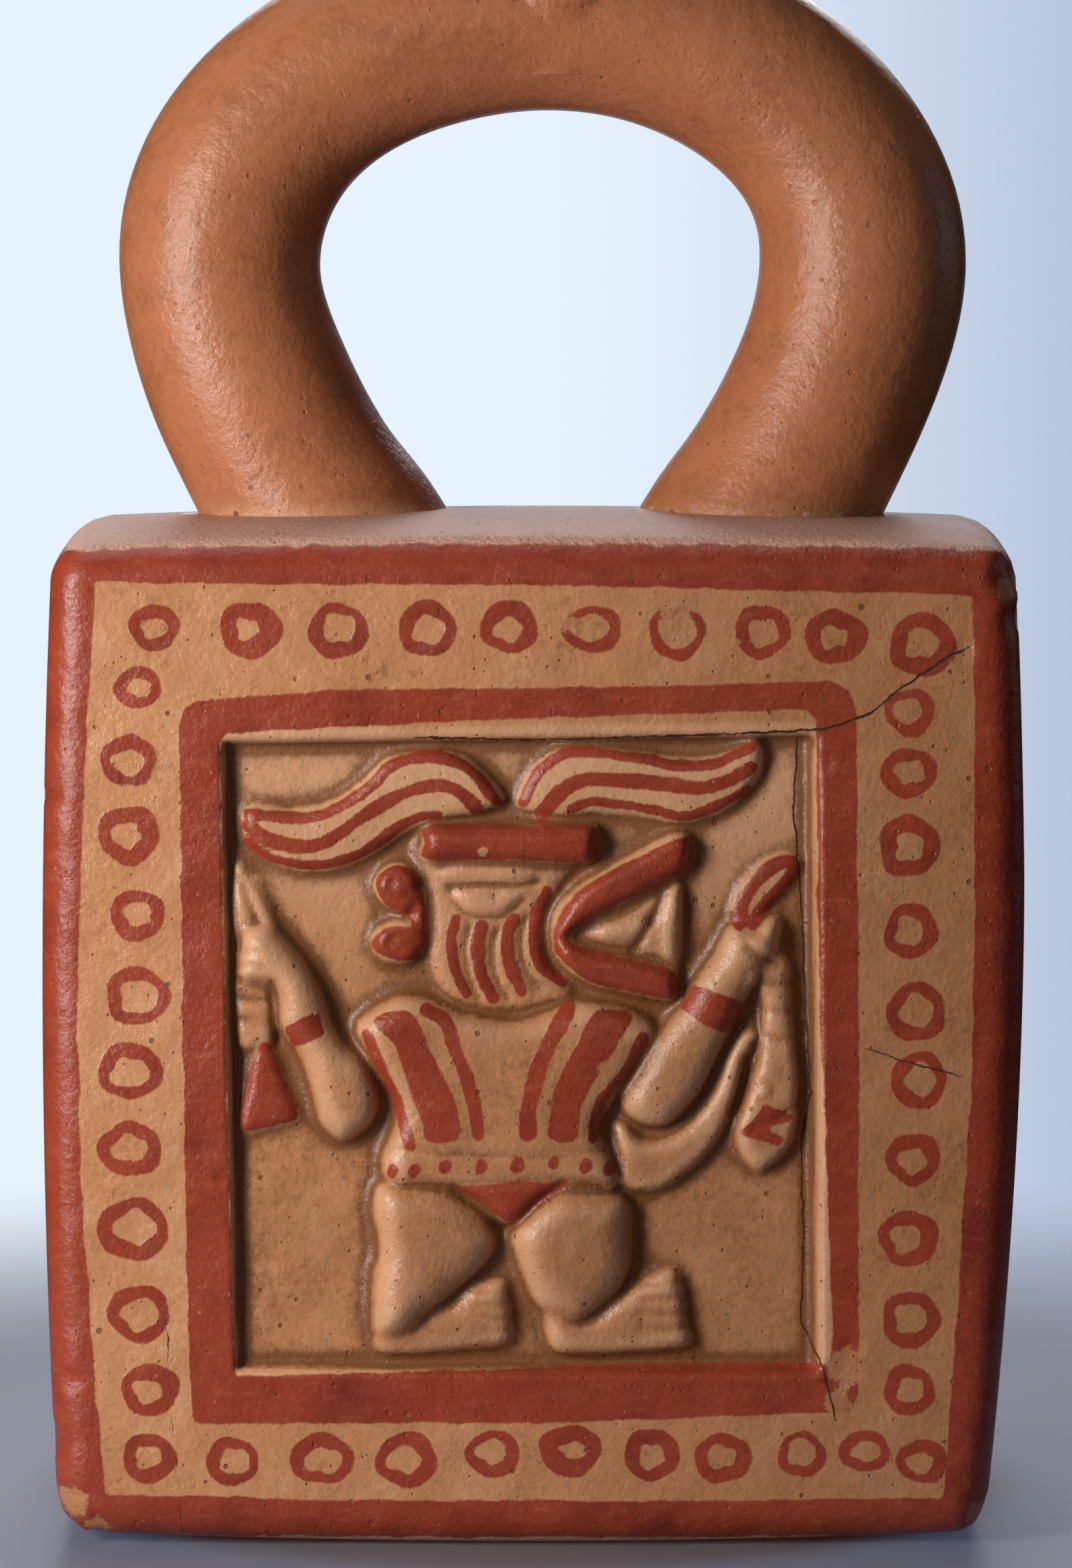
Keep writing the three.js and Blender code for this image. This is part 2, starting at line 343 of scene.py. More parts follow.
LEFT_THIGH = (
    (-17.6, 43.6), (-12.0, 43.8), (-8.4, 42.4), (-5.4, 39.6), (-4.2, 36.4), (-5.6, 33.4), (-8.4, 30.6),
    (-11.6, 27.8), (-14.6, 25.2), (-18.4, 25.6), (-18.9, 30.0), (-18.2, 35.6), (-18.8, 40.4),
)
LEFT_SHIN = (
    (-18.6, 34.0), (-13.0, 32.0), (-10.0, 29.4), (-7.2, 31.4), (-3.6, 31.9), (-2.7, 29.6), (-2.4, 26.8),
    (-2.9, 24.2), (-8.0, 23.4), (-17.4, 23.0), (-18.9, 27.0),
)
RIGHT_THIGH = (
    (-2.8, 37.6), (-0.6, 40.6), (3.0, 43.0), (8.0, 42.8), (11.0, 41.2), (11.5, 37.0), (11.2, 32.6),
    (9.2, 29.2), (5.0, 26.6), (0.6, 28.4), (-1.6, 32.6),
)
RIGHT_FOOT = (
    (1.2, 29.6), (6.0, 27.4), (9.4, 29.6), (13.2, 32.2), (16.2, 33.0), (17.4, 31.0), (17.9, 27.0),
    (18.2, 24.0), (12.6, 23.1), (3.8, 22.9), (1.4, 25.0),
)
LEFT_FOREARM = (
    (-33.8, 72.4), (-31.0, 73.6), (-28.6, 71.8), (-26.0, 68.6), (-24.4, 65.6), (-23.4, 62.8),
    (-21.8, 59.8), (-19.2, 57.4), (-17.7, 53.6), (-18.4, 50.4), (-20.6, 48.5), (-22.6, 48.2),
    (-24.8, 50.2), (-26.0, 54.2), (-27.4, 58.2), (-29.6, 61.6), (-30.4, 65.6), (-34.2, 67.0),
)
STAFF = ((-34.6, 68.0), (-30.2, 67.6), (-29.9, 60.0), (-31.4, 59.0), (-34.4, 59.4))
STAFF_TIP = ((-34.4, 80.6), (-32.6, 78.6), (-30.4, 74.6), (-29.4, 72.0), (-34.6, 71.8))
BLADE = (
    (-31.3, 60.0), (-29.9, 58.4), (-28.5, 54.3), (-27.2, 51.4), (-27.8, 50.2), (-33.2, 49.0),
    (-34.2, 50.2), (-33.3, 54.4), (-32.8, 58.0),
)
RIGHT_FOREARM = (
    (13.4, 59.8), (11.8, 56.6), (10.2, 54.0), (10.2, 51.6), (12.4, 49.9), (15.4, 49.7), (17.8, 51.6),
    (19.8, 54.2), (21.4, 57.4), (23.2, 61.2), (24.6, 64.4), (26.4, 67.2), (28.6, 70.6), (28.2, 74.2),
    (25.4, 73.6), (22.6, 73.2), (20.6, 69.9), (18.2, 66.6), (16.4, 63.6),
)
SASH = (
    (24.2, 61.0), (22.4, 58.4), (21.0, 54.6), (18.8, 51.2), (16.0, 49.0), (12.8, 48.4), (10.4, 50.4),
    (9.2, 50.0), (9.8, 45.0), (10.2, 42.4), (14.6, 42.2), (18.4, 44.6), (21.2, 47.6), (23.2, 51.4),
    (24.6, 56.0), (25.9, 60.4),
)
SERPENT = (
    (24.8, 69.6), (27.4, 70.6), (29.6, 69.0), (30.2, 62.0), (30.9, 55.0), (30.6, 49.4), (29.4, 46.6),
    (26.4, 44.4), (24.0, 46.2), (23.2, 49.4), (24.6, 53.4), (25.8, 58.0), (26.2, 64.0),
)
LEAF = (
    (22.7, 74.2), (23.4, 77.2), (25.8, 80.2), (28.8, 81.6), (30.9, 80.6), (29.8, 78.0), (27.2, 75.2),
    (25.2, 72.6),
)

FIGURE: tuple[Raised | Drawn, ...] = (
    Raised(HEAD, 1.0, 2.4, 0.3),
    Raised(TORSO, 2.6, 3.0, 0.8),
    Raised(LEFT_PLUME, 1.5, 1.6, 0.5, lean=(0.015, 0.0)),
    Raised(RIGHT_PLUME, 1.3, 1.5, 0.5, lean=(0.012, 0.0)),
    Raised(HEADBAND, 2.6, 1.5, 0.4),
    Raised(BROW, 1.5, 1.0, 0.3),
    Raised(EYE, 1.5, 1.0, 0.3),
    Raised(EAR_TOP, 2.0, 1.5, 0.5),
    Raised(EAR_LOBE, 2.0, 1.5, 0.5),
    Raised(EAR_STRIP, 1.6, 0.8, 0.1),
    Raised(JAWS, 1.3, 1.0, 0.2),
    Raised(UPPER_LIP, 2.4, 1.2, 0.3),
    Raised(LOWER_LIP, 2.4, 1.2, 0.3),
    Raised(LEFT_SHIN, 1.6, 2.4, 0.4),
    Raised(LEFT_THIGH, 3.1, 4.0, 0.8, lean=(-0.03, 0.0)),
    Raised(RIGHT_FOOT, 1.8, 2.0, 0.4),
    Raised(RIGHT_THIGH, 3.1, 4.4, 0.8, lean=(-0.03, 0.01)),
    Raised(STAFF_TIP, 1.1, 1.2, 0.2),
    Raised(STAFF, 1.2, 1.3, 0.2),
    Raised(BLADE, 1.0, 1.3, 0.2),
    Raised(SASH, 1.5, 1.6, 0.4),
    Raised(SERPENT, 1.7, 1.6, 0.3),
    Raised(LEAF, 1.0, 1.0, 0.2),
    Raised(LEFT_FOREARM, 2.8, 3.2, 0.6),
    Raised(RIGHT_FOREARM, 2.7, 3.2, 0.6),
    # the eye, the ear and the cheek lines
    Drawn(((-9.8, 77.6), (-6.0, 78.0), (-2.0, 77.8), (0.6, 78.4)), 0.6, -0.7),
    Drawn(((-9.6, 77.0), (-8.2, 75.0), (-5.6, 74.3), (-3.2, 74.6), (-1.2, 76.4)), 0.5, -0.55),
    Drawn(((-4.6, 76.9), (-4.2, 76.9)), 0.9, -0.4),
    Drawn(((-14.2, 77.0), (-15.4, 76.4), (-16.6, 77.2), (-16.2, 78.8), (-14.8, 79.0)), 0.5, -0.55),
    Drawn(((-13.8, 71.4), (-15.2, 72.4), (-16.6, 71.6), (-16.3, 70.4), (-15.0, 70.6)), 0.5, -0.55),
    Drawn(((-7.4, 73.4), (-8.0, 70.4), (-7.4, 66.8), (-6.4, 64.6)), 0.6, -0.55),
    Drawn(((-4.2, 73.0), (-4.8, 70.4), (-4.4, 67.0), (-3.0, 64.8)), 0.6, -0.6),
    Drawn(((-0.7, 74.6), (-1.5, 71.8), (-1.0, 68.4), (0.8, 65.8)), 0.6, -0.6),
    Drawn(((2.2, 76.2), (1.5, 73.4), (1.7, 70.0), (3.4, 67.4)), 0.6, -0.6),
    # the teeth, and the gum round them
    Drawn(((17.0, 78.6), (10.8, 75.0), (5.2, 71.9), (10.8, 70.3), (16.2, 68.8)), 0.7, -0.7),
    Drawn(((15.0, 76.9), (13.6, 73.8), (11.6, 70.4)), 0.7, -0.8),
    Drawn(((16.3, 76.0), (15.6, 72.8), (15.6, 69.6)), 1.2, 0.5),
    Drawn(((8.6, 72.6), (12.2, 73.0)), 2.2, 0.7),
    # the belt and the loin cloth
    Drawn(((-16.4, 47.3), (-8.0, 46.9), (0.7, 46.5), (8.0, 47.2)), 0.5, -0.4),
    Drawn(((-17.4, 43.3), (-8.0, 43.2), (0.7, 43.7), (9.4, 43.4)), 0.6, -0.5),
    Drawn(((-9.0, 42.6), (-5.8, 40.6), (-2.9, 37.6), (0.4, 41.2), (3.4, 43.2)), 0.7, -0.8),
    # the fingers, the staff's bindings and its tip
    Drawn(((-34.4, 70.6), (-31.4, 70.2)), 0.5, -0.5),
    Drawn(((-34.4, 68.9), (-31.2, 68.5)), 0.5, -0.5),
    Drawn(((-34.4, 67.2), (-30.8, 67.0)), 0.5, -0.5),
    Drawn(((-34.2, 64.8), (-30.6, 64.6)), 0.5, -0.45),
    Drawn(((-34.2, 62.4), (-30.4, 62.2)), 0.5, -0.45),
    Drawn(((-33.9, 79.0), (-32.8, 76.2), (-31.9, 73.6)), 0.6, -0.7),
    Drawn(((-32.2, 78.8), (-31.0, 75.8), (-30.0, 73.0)), 0.5, 0.5),
    Drawn(((-30.2, 67.0), (-29.9, 62.8), (-29.7, 60.0)), 0.6, -0.8),
    # the toes
    Drawn(((-6.6, 30.5), (-3.2, 30.4)), 0.45, -0.4),
    Drawn(((-6.8, 29.0), (-2.9, 28.9)), 0.45, -0.4),
    Drawn(((-6.8, 27.5), (-2.8, 27.3)), 0.45, -0.4),
    Drawn(((-6.8, 26.0), (-2.8, 25.8)), 0.45, -0.4),
    Drawn(((12.6, 31.2), (16.8, 31.5)), 0.5, -0.55),
    Drawn(((12.6, 29.6), (17.0, 29.7)), 0.5, -0.55),
    Drawn(((12.4, 28.0), (17.2, 27.9)), 0.5, -0.55),
    Drawn(((12.4, 26.4), (17.4, 26.1)), 0.5, -0.55),
    # the right hand, the serpent's rings, its eye and its mouth
    Drawn(((24.6, 70.9), (26.4, 69.6), (28.4, 68.7)), 0.6, -0.8),
    Drawn(((24.4, 72.4), (26.6, 72.2), (28.6, 71.6)), 0.5, -0.5),
    Drawn(((25.6, 67.6), (24.8, 64.0), (25.6, 60.0)), 0.6, 0.7),
    Drawn(((26.8, 66.6), (29.6, 66.4)), 0.5, -0.5),
    Drawn(((26.8, 63.4), (29.8, 63.2)), 0.5, -0.5),
    Drawn(((27.0, 60.2), (30.0, 60.0)), 0.5, -0.5),
    Drawn(((27.9, 54.6), (26.6, 55.0), (25.6, 54.0), (26.4, 52.9), (27.8, 53.2), (27.9, 54.4)), 0.45, -0.5),
    Drawn(((24.6, 57.6), (24.1, 54.4), (23.2, 51.6)), 0.8, -0.9),
    Drawn(((30.6, 52.4), (28.0, 50.4), (25.2, 49.4), (28.6, 48.2)), 0.6, -0.4),
)

FIGURE_PAINT: tuple[Outline | Stroke, ...] = (
    # the plumes
    Stroke(((-32.9, 86.2), (-26.3, 85.8), (-22.6, 86.9), (-18.8, 89.4), (-16.3, 91.9), (-12.6, 92.9),
        (-9.4, 92.4), (-6.9, 90.9), (-4.2, 87.6)), 1.3),
    Stroke(((-32.9, 84.9), (-30.5, 83.3), (-26.8, 82.5), (-23.5, 83.3), (-19.5, 86.1), (-15.6, 88.4),
        (-11.6, 89.5), (-8.9, 89.0), (-6.7, 86.9)), 1.6),
    Stroke(((-33.1, 83.0), (-30.3, 81.1), (-26.3, 80.3), (-22.6, 80.7), (-19.1, 82.2), (-16.1, 84.4),
        (-13.2, 85.9), (-11.1, 86.1)), 1.2),
    Stroke(((-1.2, 87.6), (0.5, 90.9), (3.6, 93.2), (7.5, 93.2), (12.4, 92.6), (16.4, 91.8),
        (20.4, 91.9), (23.1, 92.9), (25.1, 93.9)), 1.3),
    Stroke(((0.8, 86.1), (3.3, 88.9), (5.8, 90.1), (10.0, 90.1), (14.9, 89.7), (19.4, 89.2),
        (22.6, 90.1), (25.1, 91.6)), 1.7),
    Stroke(((4.3, 86.7), (6.5, 87.6), (10.0, 87.3), (13.5, 86.7), (17.4, 85.9), (21.2, 87.2),
        (24.7, 88.9)), 1.2),
    # the headband, the ear and the cheek
    Outline(((-12.6, 82.8), (-12.2, 80.9), (-2.4, 81.0), (6.6, 80.6), (7.2, 83.2), (6.2, 84.9),
        (-2.4, 85.0), (-12.0, 85.0))),
    Outline(((-12.6, 76.4), (-13.4, 79.4), (-15.6, 80.3), (-17.8, 79.2), (-18.1, 77.4), (-17.0, 75.6),
        (-14.6, 74.2), (-14.2, 73.2), (-16.6, 73.2), (-18.4, 71.8), (-18.2, 70.2), (-15.8, 69.2),
        (-13.0, 69.6), (-12.2, 72.4))),
    Stroke(((-9.0, 74.2), (-9.6, 71.3), (-9.0, 67.8), (-7.8, 65.3)), 1.3),
    Stroke(((-6.1, 73.2), (-6.5, 70.8), (-6.1, 67.5), (-4.6, 64.8)), 1.5),
    Stroke(((-2.3, 73.9), (-3.1, 72.1), (-2.8, 68.8), (-1.3, 65.5)), 1.4),
    Stroke(((1.5, 77.1), (0.2, 74.2), (0.2, 70.8), (1.2, 68.3), (3.4, 66.6)), 1.5),
    Outline(((17.9, 83.6), (17.4, 79.6), (12.0, 76.7), (7.0, 74.2), (3.9, 71.8), (7.0, 70.3),
        (11.6, 69.2), (16.2, 67.9), (16.4, 64.8), (11.6, 65.4), (6.4, 66.8), (3.2, 69.2), (2.3, 72.2),
        (4.0, 76.2), (8.1, 79.3), (12.0, 81.3))),
    # the shirt
    Stroke(((-19.3, 60.7), (-17.7, 57.0), (-15.9, 52.9), (-14.8, 49.7), (-14.3, 47.9)), 1.4),
    Outline(((-18.4, 62.2), (-16.0, 59.4), (-14.6, 55.0), (-13.0, 50.6), (-12.4, 48.6), (-9.2, 48.4),
        (-8.6, 50.4), (-10.0, 55.2), (-12.2, 59.2), (-13.8, 63.0), (-16.0, 63.6))),
    Stroke(((-12.4, 63.6), (-10.2, 62.2), (-9.1, 59.0), (-8.0, 56.5), (-7.0, 52.9), (-6.4, 49.2)), 1.6),
    Stroke(((4.0, 63.6), (1.9, 60.0), (0.4, 56.3), (-0.6, 52.0), (-0.7, 49.4)), 2.0),
    Outline(((6.8, 63.2), (4.6, 59.0), (2.5, 55.0), (1.6, 50.6), (1.8, 48.6), (4.8, 48.6), (5.4, 52.4),
        (7.4, 56.2), (9.8, 60.0), (11.4, 62.8), (9.2, 63.6))),
    Stroke(((12.6, 60.3), (10.6, 56.3), (8.0, 53.3), (7.2, 51.2), (6.9, 48.6)), 1.4),
    # the belt's dots and the loin cloth
    *(
        Stroke(((x, z - 0.2), (x + 0.15, z + 0.2)), 1.45)
        for x, z in (
            (-16.4, 44.9), (-14.0, 44.9), (-10.3, 45.4), (-6.2, 45.4), (-2.0, 45.6), (2.2, 45.9),
            (5.9, 45.4), (8.8, 45.1),
        )
    ),
    Outline(((-9.4, 42.9), (-2.6, 43.6), (4.3, 43.5), (0.8, 40.8), (-2.8, 38.3), (-6.0, 41.0)),
        sharp=True),
    # the bracelets, the blade, the leaf and the serpent's mouth
    Outline(((-28.9, 61.5), (-27.0, 62.8), (-24.9, 63.3), (-24.0, 60.6), (-26.0, 60.0), (-27.9, 59.0)),
        sharp=True),
    Outline(((16.8, 63.8), (18.4, 66.2), (21.4, 65.6), (24.2, 64.3), (22.7, 60.6), (19.6, 61.8)),
        sharp=True),
    Outline(((-31.3, 59.8), (-30.1, 58.6), (-28.6, 54.4), (-27.4, 51.6), (-27.8, 50.5), (-33.2, 49.3),
        (-33.9, 50.2), (-33.4, 54.0), (-32.6, 57.8))),
    Stroke(((23.8, 73.4), (24.2, 76.0), (26.2, 78.8), (28.6, 80.5), (30.2, 80.2), (29.2, 78.2),
        (26.9, 75.8), (25.4, 73.4)), 1.6),
    Outline(((23.6, 49.0), (25.4, 50.6), (26.8, 52.4), (28.6, 51.8), (30.3, 50.8), (28.6, 50.0),
        (26.9, 49.6), (29.4, 48.4), (28.4, 47.4), (25.6, 48.4)), sharp=True),
)


@dataclass
class CarvedPanel:
    """The panel sunk in the front, with the figure standing out from its floor.

    Attributes:
        left: The left wall at the face; right, low and high are the other three.
        floor_y: How far forward the middle of the floor lies.
        tilt: How much the floor sinks for each millimetre to the right.
        walls: How wide the walls slope at the left, the right, the foot and the top.
        step: The spacing of the grid that the heights are worked out on.
        corner: The grid's lower left corner.
        far_corner: Its upper right corner.
        heights: How far the figure stands out from the floor.
        hollows: How deep each place lies among its neighbours, from 0 to 1.
        worn: How much each place stands out among them, from 0 to 1.
        paint: The distance from the figure's painted marks, negative inside.
        SINKING: How deep the floor counts as lying when hollows are looked for.
        CREVICE: How many cells a crevice spans, and how deep a full one is.
        DIP: The same for a wide dip.
        RUBBED: The same for a place that stands out and gets rubbed.
        CREVICE_SHARE: How much the crevices count for against the dips.
        REACH: How far round a part of the figure the grid is worked on.
    """

    left: Point = (-34.9, -36.1)
    right: Point = (33.9, 33.2)
    low: Point = (20.9, 20.6)
    high: Point = (95.0, 95.8)
    floor_y: float = -36.5
    tilt: float = 0.014
    walls: tuple[float, float, float, float] = (0.9, 2.0, 1.2, 1.1)
    step: float = 0.3
    corner: Point = (-42.0, 14.0)
    far_corner: Point = (40.0, 102.0)
    heights: Array = field(init=False)
    hollows: Array = field(init=False)
    worn: Array = field(init=False)
    paint: Array = field(init=False)
    SINKING: ClassVar[float] = 3.2
    CREVICE: ClassVar[tuple[int, float]] = (3, 0.22)
    DIP: ClassVar[tuple[int, float]] = (7, 0.6)
    RUBBED: ClassVar[tuple[int, float]] = (4, 0.45)
    CREVICE_SHARE: ClassVar[float] = 0.6
    REACH: ClassVar[float] = 4.0

    def __post_init__(self) -> None:
        """Works out the heights, the hollows, the worn places and the paint on the grid."""
        across = np.arange(self.corner[0], self.far_corner[0], self.step)
        upwards = np.arange(self.corner[1], self.far_corner[1], self.step)
        self._x, self._z = np.meshgrid(across, upwards)
        heights = np.zeros(self._x.shape)
        for part in FIGURE:
            near = self._near(part.points)
            heights[near] = part.over(heights[near], self._x[near], self._z[near])
        self.heights = softened(heights, 1)
        relief = self.sunk(self._x, self._z) * (self.heights - self.SINKING)
        crevices, dips = (
            np.clip((softened(relief, cells) - relief) / depth, 0.0, 1.0)
            for cells, depth in (self.CREVICE, self.DIP)
        )
        self.hollows = self.CREVICE_SHARE * crevices + (1 - self.CREVICE_SHARE) * dips
        cells, height = self.RUBBED
        self.worn = np.clip((relief - softened(relief, cells)) / height, 0.0, 1.0)
        self.paint = np.full(self._x.shape, FAR)
        for mark in FIGURE_PAINT:
            near = self._near(mark.points)
            self.paint[near] = np.minimum(self.paint[near], mark.edge(self._x[near], self._z[near]))

    def _near(self, points: tuple[Point, ...]) -> tuple[slice, slice]:
        """Finds the part of the grid round some points.

        Args:
            points: The points (x, z).

        Returns:
            The rows and the columns.
        """
        low = (np.min(points, axis=0) - self.REACH - self.corner) / self.step
        high = (np.max(points, axis=0) + self.REACH - self.corner) / self.step
        (x0, z0), (x1, z1) = np.maximum(low, 0).astype(int), np.ceil(high).astype(int)
        return slice(z0, z1), slice(x0, x1)

    def at(self, grid: Array, x: Array, z: Array) -> Array:
        """Reads a grid between its points.

        Args:
            grid: One of the panel's grids.
            x: Where to read, across.
            z: Where to read, upwards.

        Returns:
            The value at each place.
        """
        rows, columns = grid.shape
        u = np.clip((x - self.corner[0]) / self.step, 0, columns - 1.001)
        v = np.clip((z - self.corner[1]) / self.step, 0, rows - 1.001)
        i, j = v.astype(int), u.astype(int)
        s, t = u - j, v - i
        low = grid[i, j] * (1 - s) + grid[i, j + 1] * s
        high = grid[i + 1, j] * (1 - s) + grid[i + 1, j + 1] * s
        return low * (1 - t) + high * t

    def sunk(self, x: Array, z: Array) -> Array:
        """Tells how far the clay is sunk.

        Args:
            x: The places, across.
            z: The places, upwards.

        Returns:
            How far each is sunk, from 0 on the face to 1 on the floor.
        """
        share = (z - self.low[0]) / (self.high[0] - self.low[0])
        reach = (x - self.left[0]) / (self.right[0] - self.left[0])
        sides = (
            x - (self.left[0] + (self.left[1] - self.left[0]) * share),
            self.right[0] + (self.right[1] - self.right[0]) * share - x,
            z - (self.low[0] + (self.low[1] - self.low[0]) * reach),
            self.high[0] + (self.high[1] - self.high[0]) * reach - z,
        )
        depth = np.ones(np.shape(x))
        for away, wall in zip(sides, self.walls):
            depth = depth * smooth(0.0, wall, away)
        return depth

    def covers(self, x: Array, z: Array) -> Array:
        """Tells which places the panel's grid covers."""
        (left, low), (right, high) = self.corner, self.far_corner
        return (x > left) & (x < right) & (z > low) & (z < high)

    def carve(self, x: Array, y: Array, z: Array) -> Array:
        """Sinks the face into the panel and raises the figure from it.

        Args:
            x: The places, across.
            y: The face before it is carved.
            z: The places, upwards.

        Returns:
            The carved face.
        """
        depth = self.sunk(x, z)
        waves = 0.10 * np.sin(0.16 * x + 1.0) * np.sin(0.13 * z) + 0.05 * np.sin(0.5 * x - 0.4 * z)
        floor = self.floor_y + self.tilt * x + waves - self.at(self.heights, x, z)
        return y * (1 - depth) + floor * depth


# --- The clay body ---


@dataclass(frozen=True)
class Mould:
    """The pillow-sided box: it says where any point of the skin lies.

    Attributes:
        half: Half the width, depth and height before the sides swell.
        middle_z: The height of its middle.
        edge: The radius of the rounded edges.
        floor_z: The height of the flat underside.
        side_swell: How much the sides swell towards the middle of their height.
        belly_swell: How much they swell towards the middle of their depth.
        face_swell: How much the front and the back swell.
        crown_swell: How much the top swells towards the middle of its depth.
        brow_swell: How much it swells towards the middle of its width.
        tuck: How much the lower right corner is drawn in.
        tuck_below: The height where that starts.
        tuck_power: How fast it grows.
    """

    half: Point3 = (55.6, 38.0, 57.35)
    middle_z: float = 59.25
    edge: float = 4.0
    floor_z: float = 0.0
    side_swell: float = 1.5
    belly_swell: float = 0.4
    face_swell: float = 2.0
    crown_swell: float = 2.2
    brow_swell: float = 1.3
    tuck: float = 2.9
    tuck_below: float = 80.0
    tuck_power: float = 1.5

    def core(self) -> Array:
        """Returns half the sizes of the box that the edge's ball rolls round."""
        return np.array(self.half) - self.edge

    def drawn_in(self, wall: float) -> "Mould":
        """Returns the same box drawn in by a wall on every side."""
        width, depth, height = self.half
        return replace(self, half=(width - wall, depth - wall, height - wall), floor_z=wall)

    def skin(self, core: Array, facing: Array) -> Array:
        """Places points of the skin.

        Args:
            core: The nearest point of the core to each, one a row.
            facing: The way the skin faces there, one a row.

        Returns:
            The points, one a row.
        """
        half = np.array(self.half)
        point = core + self.edge * facing
        along = 1 - np.minimum(np.abs(point / half), 1) ** 2
        growth = np.stack(
            [
                self.side_swell * along[:, 2] + self.belly_swell * along[:, 1],
                self.face_swell * along[:, 0] * along[:, 2],
                self.crown_swell * along[:, 1] + self.brow_swell * along[:, 0],
            ],
            axis=1,
        )
        point = point * (1 + growth / half)
        point[:, 2] += self.middle_z
        depth = np.maximum(0, 1 - point[:, 2] / self.tuck_below) ** self.tuck_power
        point[:, 0] -= self.tuck * depth * np.maximum(point[:, 0], 0) / Mould.half[0]
        point[:, 2] = np.maximum(point[:, 2], self.floor_z)
        return point


@dataclass(frozen=True)
class Ruling:
    """The lines of a lattice that covers one face of the box and turns round its edges.

    Attributes:
        core: Where each line lies on the core.
        turn: How far the skin has turned round the edge there, in radians.
    """

    core: Array
    turn: Array

    @staticmethod
    def across(reach: float, spans: tuple[tuple[float, float], ...], steps: int) -> "Ruling":
        """Rules the lines of one direction.

        Args:
            reach: Half the core's size in this direction.
            spans: Where each span ends and how far apart its lines are.
            steps: How many lines each rounded edge gets.

        Returns:
            The lines, from low to high.
        """
        flat, start = [], -reach
        for end, spacing in spans:
            count = max(1, round((end - start) / spacing))
            flat.append(start + (end - start) * np.arange(count) / count)
            start = end
        flat.append(np.array([reach]))
        lines = np.concatenate(flat)
        bend = (np.arange(1, steps + 1) / steps) * math.pi / 2
        core = np.concatenate([np.full(steps, -reach), lines, np.full(steps, reach)])
        turn = np.concatenate([-bend[::-1], np.zeros(len(lines)), bend])
        return Ruling(core, turn)


class Skin:
    """A mesh being gathered: its vertices and its faces."""

    def __init__(self) -> None:
        """Starts with nothing."""
        self.points: list[Array] = []
        self.faces: list[Array] = []
        self.count = 0

    def add(self, points: Array) -> Array:
        """Adds vertices.

        Args:
            points: Where they are, one a row.

        Returns:
            Their numbers.
        """
        self.points.append(points)
        numbers = np.arange(self.count, self.count + len(points))
        self.count += len(points)
        return numbers

    def weave(self, numbers: Array) -> None:
        """Covers a grid of vertices, given by their numbers, with faces."""
        low, high = numbers[:-1], numbers[1:]
        quads = np.stack([low[:, :-1], low[:, 1:], high[:, 1:], high[:, :-1]], axis=-1)
        self.faces.append(quads.reshape(-1, 4))

    def zip(self, first: Array, first_turn: Array, second: Array, second_turn: Array) -> None:
        """Joins two rings of vertices that run the same way round, and may differ in number.

        Args:
            first: The numbers of one ring.
            first_turn: How far round each of them is, rising from 0.
            second: The numbers of the other ring.
            second_turn: How far round each of those is.
        """
        full = 2 * math.pi
        first_turn, second_turn = np.append(first_turn, full), np.append(second_turn, full)
        i = j = 0
        faces = []
        while i < len(first) or j < len(second):
            a, b = first[i % len(first)], second[j % len(second)]
            if j == len(second) or (i < len(first) and first_turn[i + 1] <= second_turn[j + 1]):
                i += 1
                faces.append((a, b, first[i % len(first)]))
            else:
                j += 1
                faces.append((a, b, second[j % len(second)]))
        self.faces.append(np.array(faces))

    def mesh(self, name: str) -> bpy.types.Mesh:
        """Makes the mesh in metres, with its faces outward.

        Args:
            name: What to call it.

        Returns:
            The mesh.
        """
        mesh = bpy.data.meshes.new(name)
        faces = [tuple(face) for group in self.faces for face in group.tolist()]
        mesh.from_pydata((np.vstack(self.points) * MM).tolist(), [], faces)
        shell = bmesh.new()
        shell.from_mesh(mesh)
        bmesh.ops.recalc_face_normals(shell, faces=shell.faces)
        shell.to_mesh(mesh)
        shell.free()
        return mesh


@dataclass(frozen=True)
class Chip:
    """A small chip or dent in the front or its edges.

    Attributes:
        x: Its middle, across.
        z: Its middle, upwards.
        radius: How far it reaches.
        depth: How deep it is.
    """

    x: float
    z: float
    radius: float
    depth: float


CHIPS = tuple(Chip(*row) for row in (
    (-53.6, 4.4, 3.2, 0.9), (-56.0, 12.6, 2.2, 0.5), (-50.8, 2.6, 2.0, 0.6), (-53.8, 20.0, 1.6, 0.3),
    (54.6, 113.8, 2.6, 0.7), (55.6, 108.6, 1.8, 0.4), (51.4, 5.0, 2.4, 0.5), (35.4, 20.8, 2.4, 0.5),
    (36.8, 24.0, 1.6, 0.35), (33.4, 92.0, 1.4, 0.3), (-36.0, 44.0, 1.2, 0.25), (49.6, 105.2, 1.5, 0.4),
    (-55.8, 88.0, 1.4, 0.25),
))


# the slow waves that a hand leaves in a clay wall: depth, turn across, turn upwards, start
WAVES = (
    (0.13, 0.11, 0.05, 0.6), (0.10, -0.07, 0.17, 2.1), (0.06, 0.31, 0.24, 4.0),
    (0.04, 0.62, -0.48, 1.3), (0.03, 0.71, 0.93, 5.2),
)


def unevenness(x: Array, z: Array) -> Array:
    """Returns how far the wall bulges at each place."""
    return sum(depth * np.sin(across * x + up * z + start) for depth, across, up, start in WAVES)


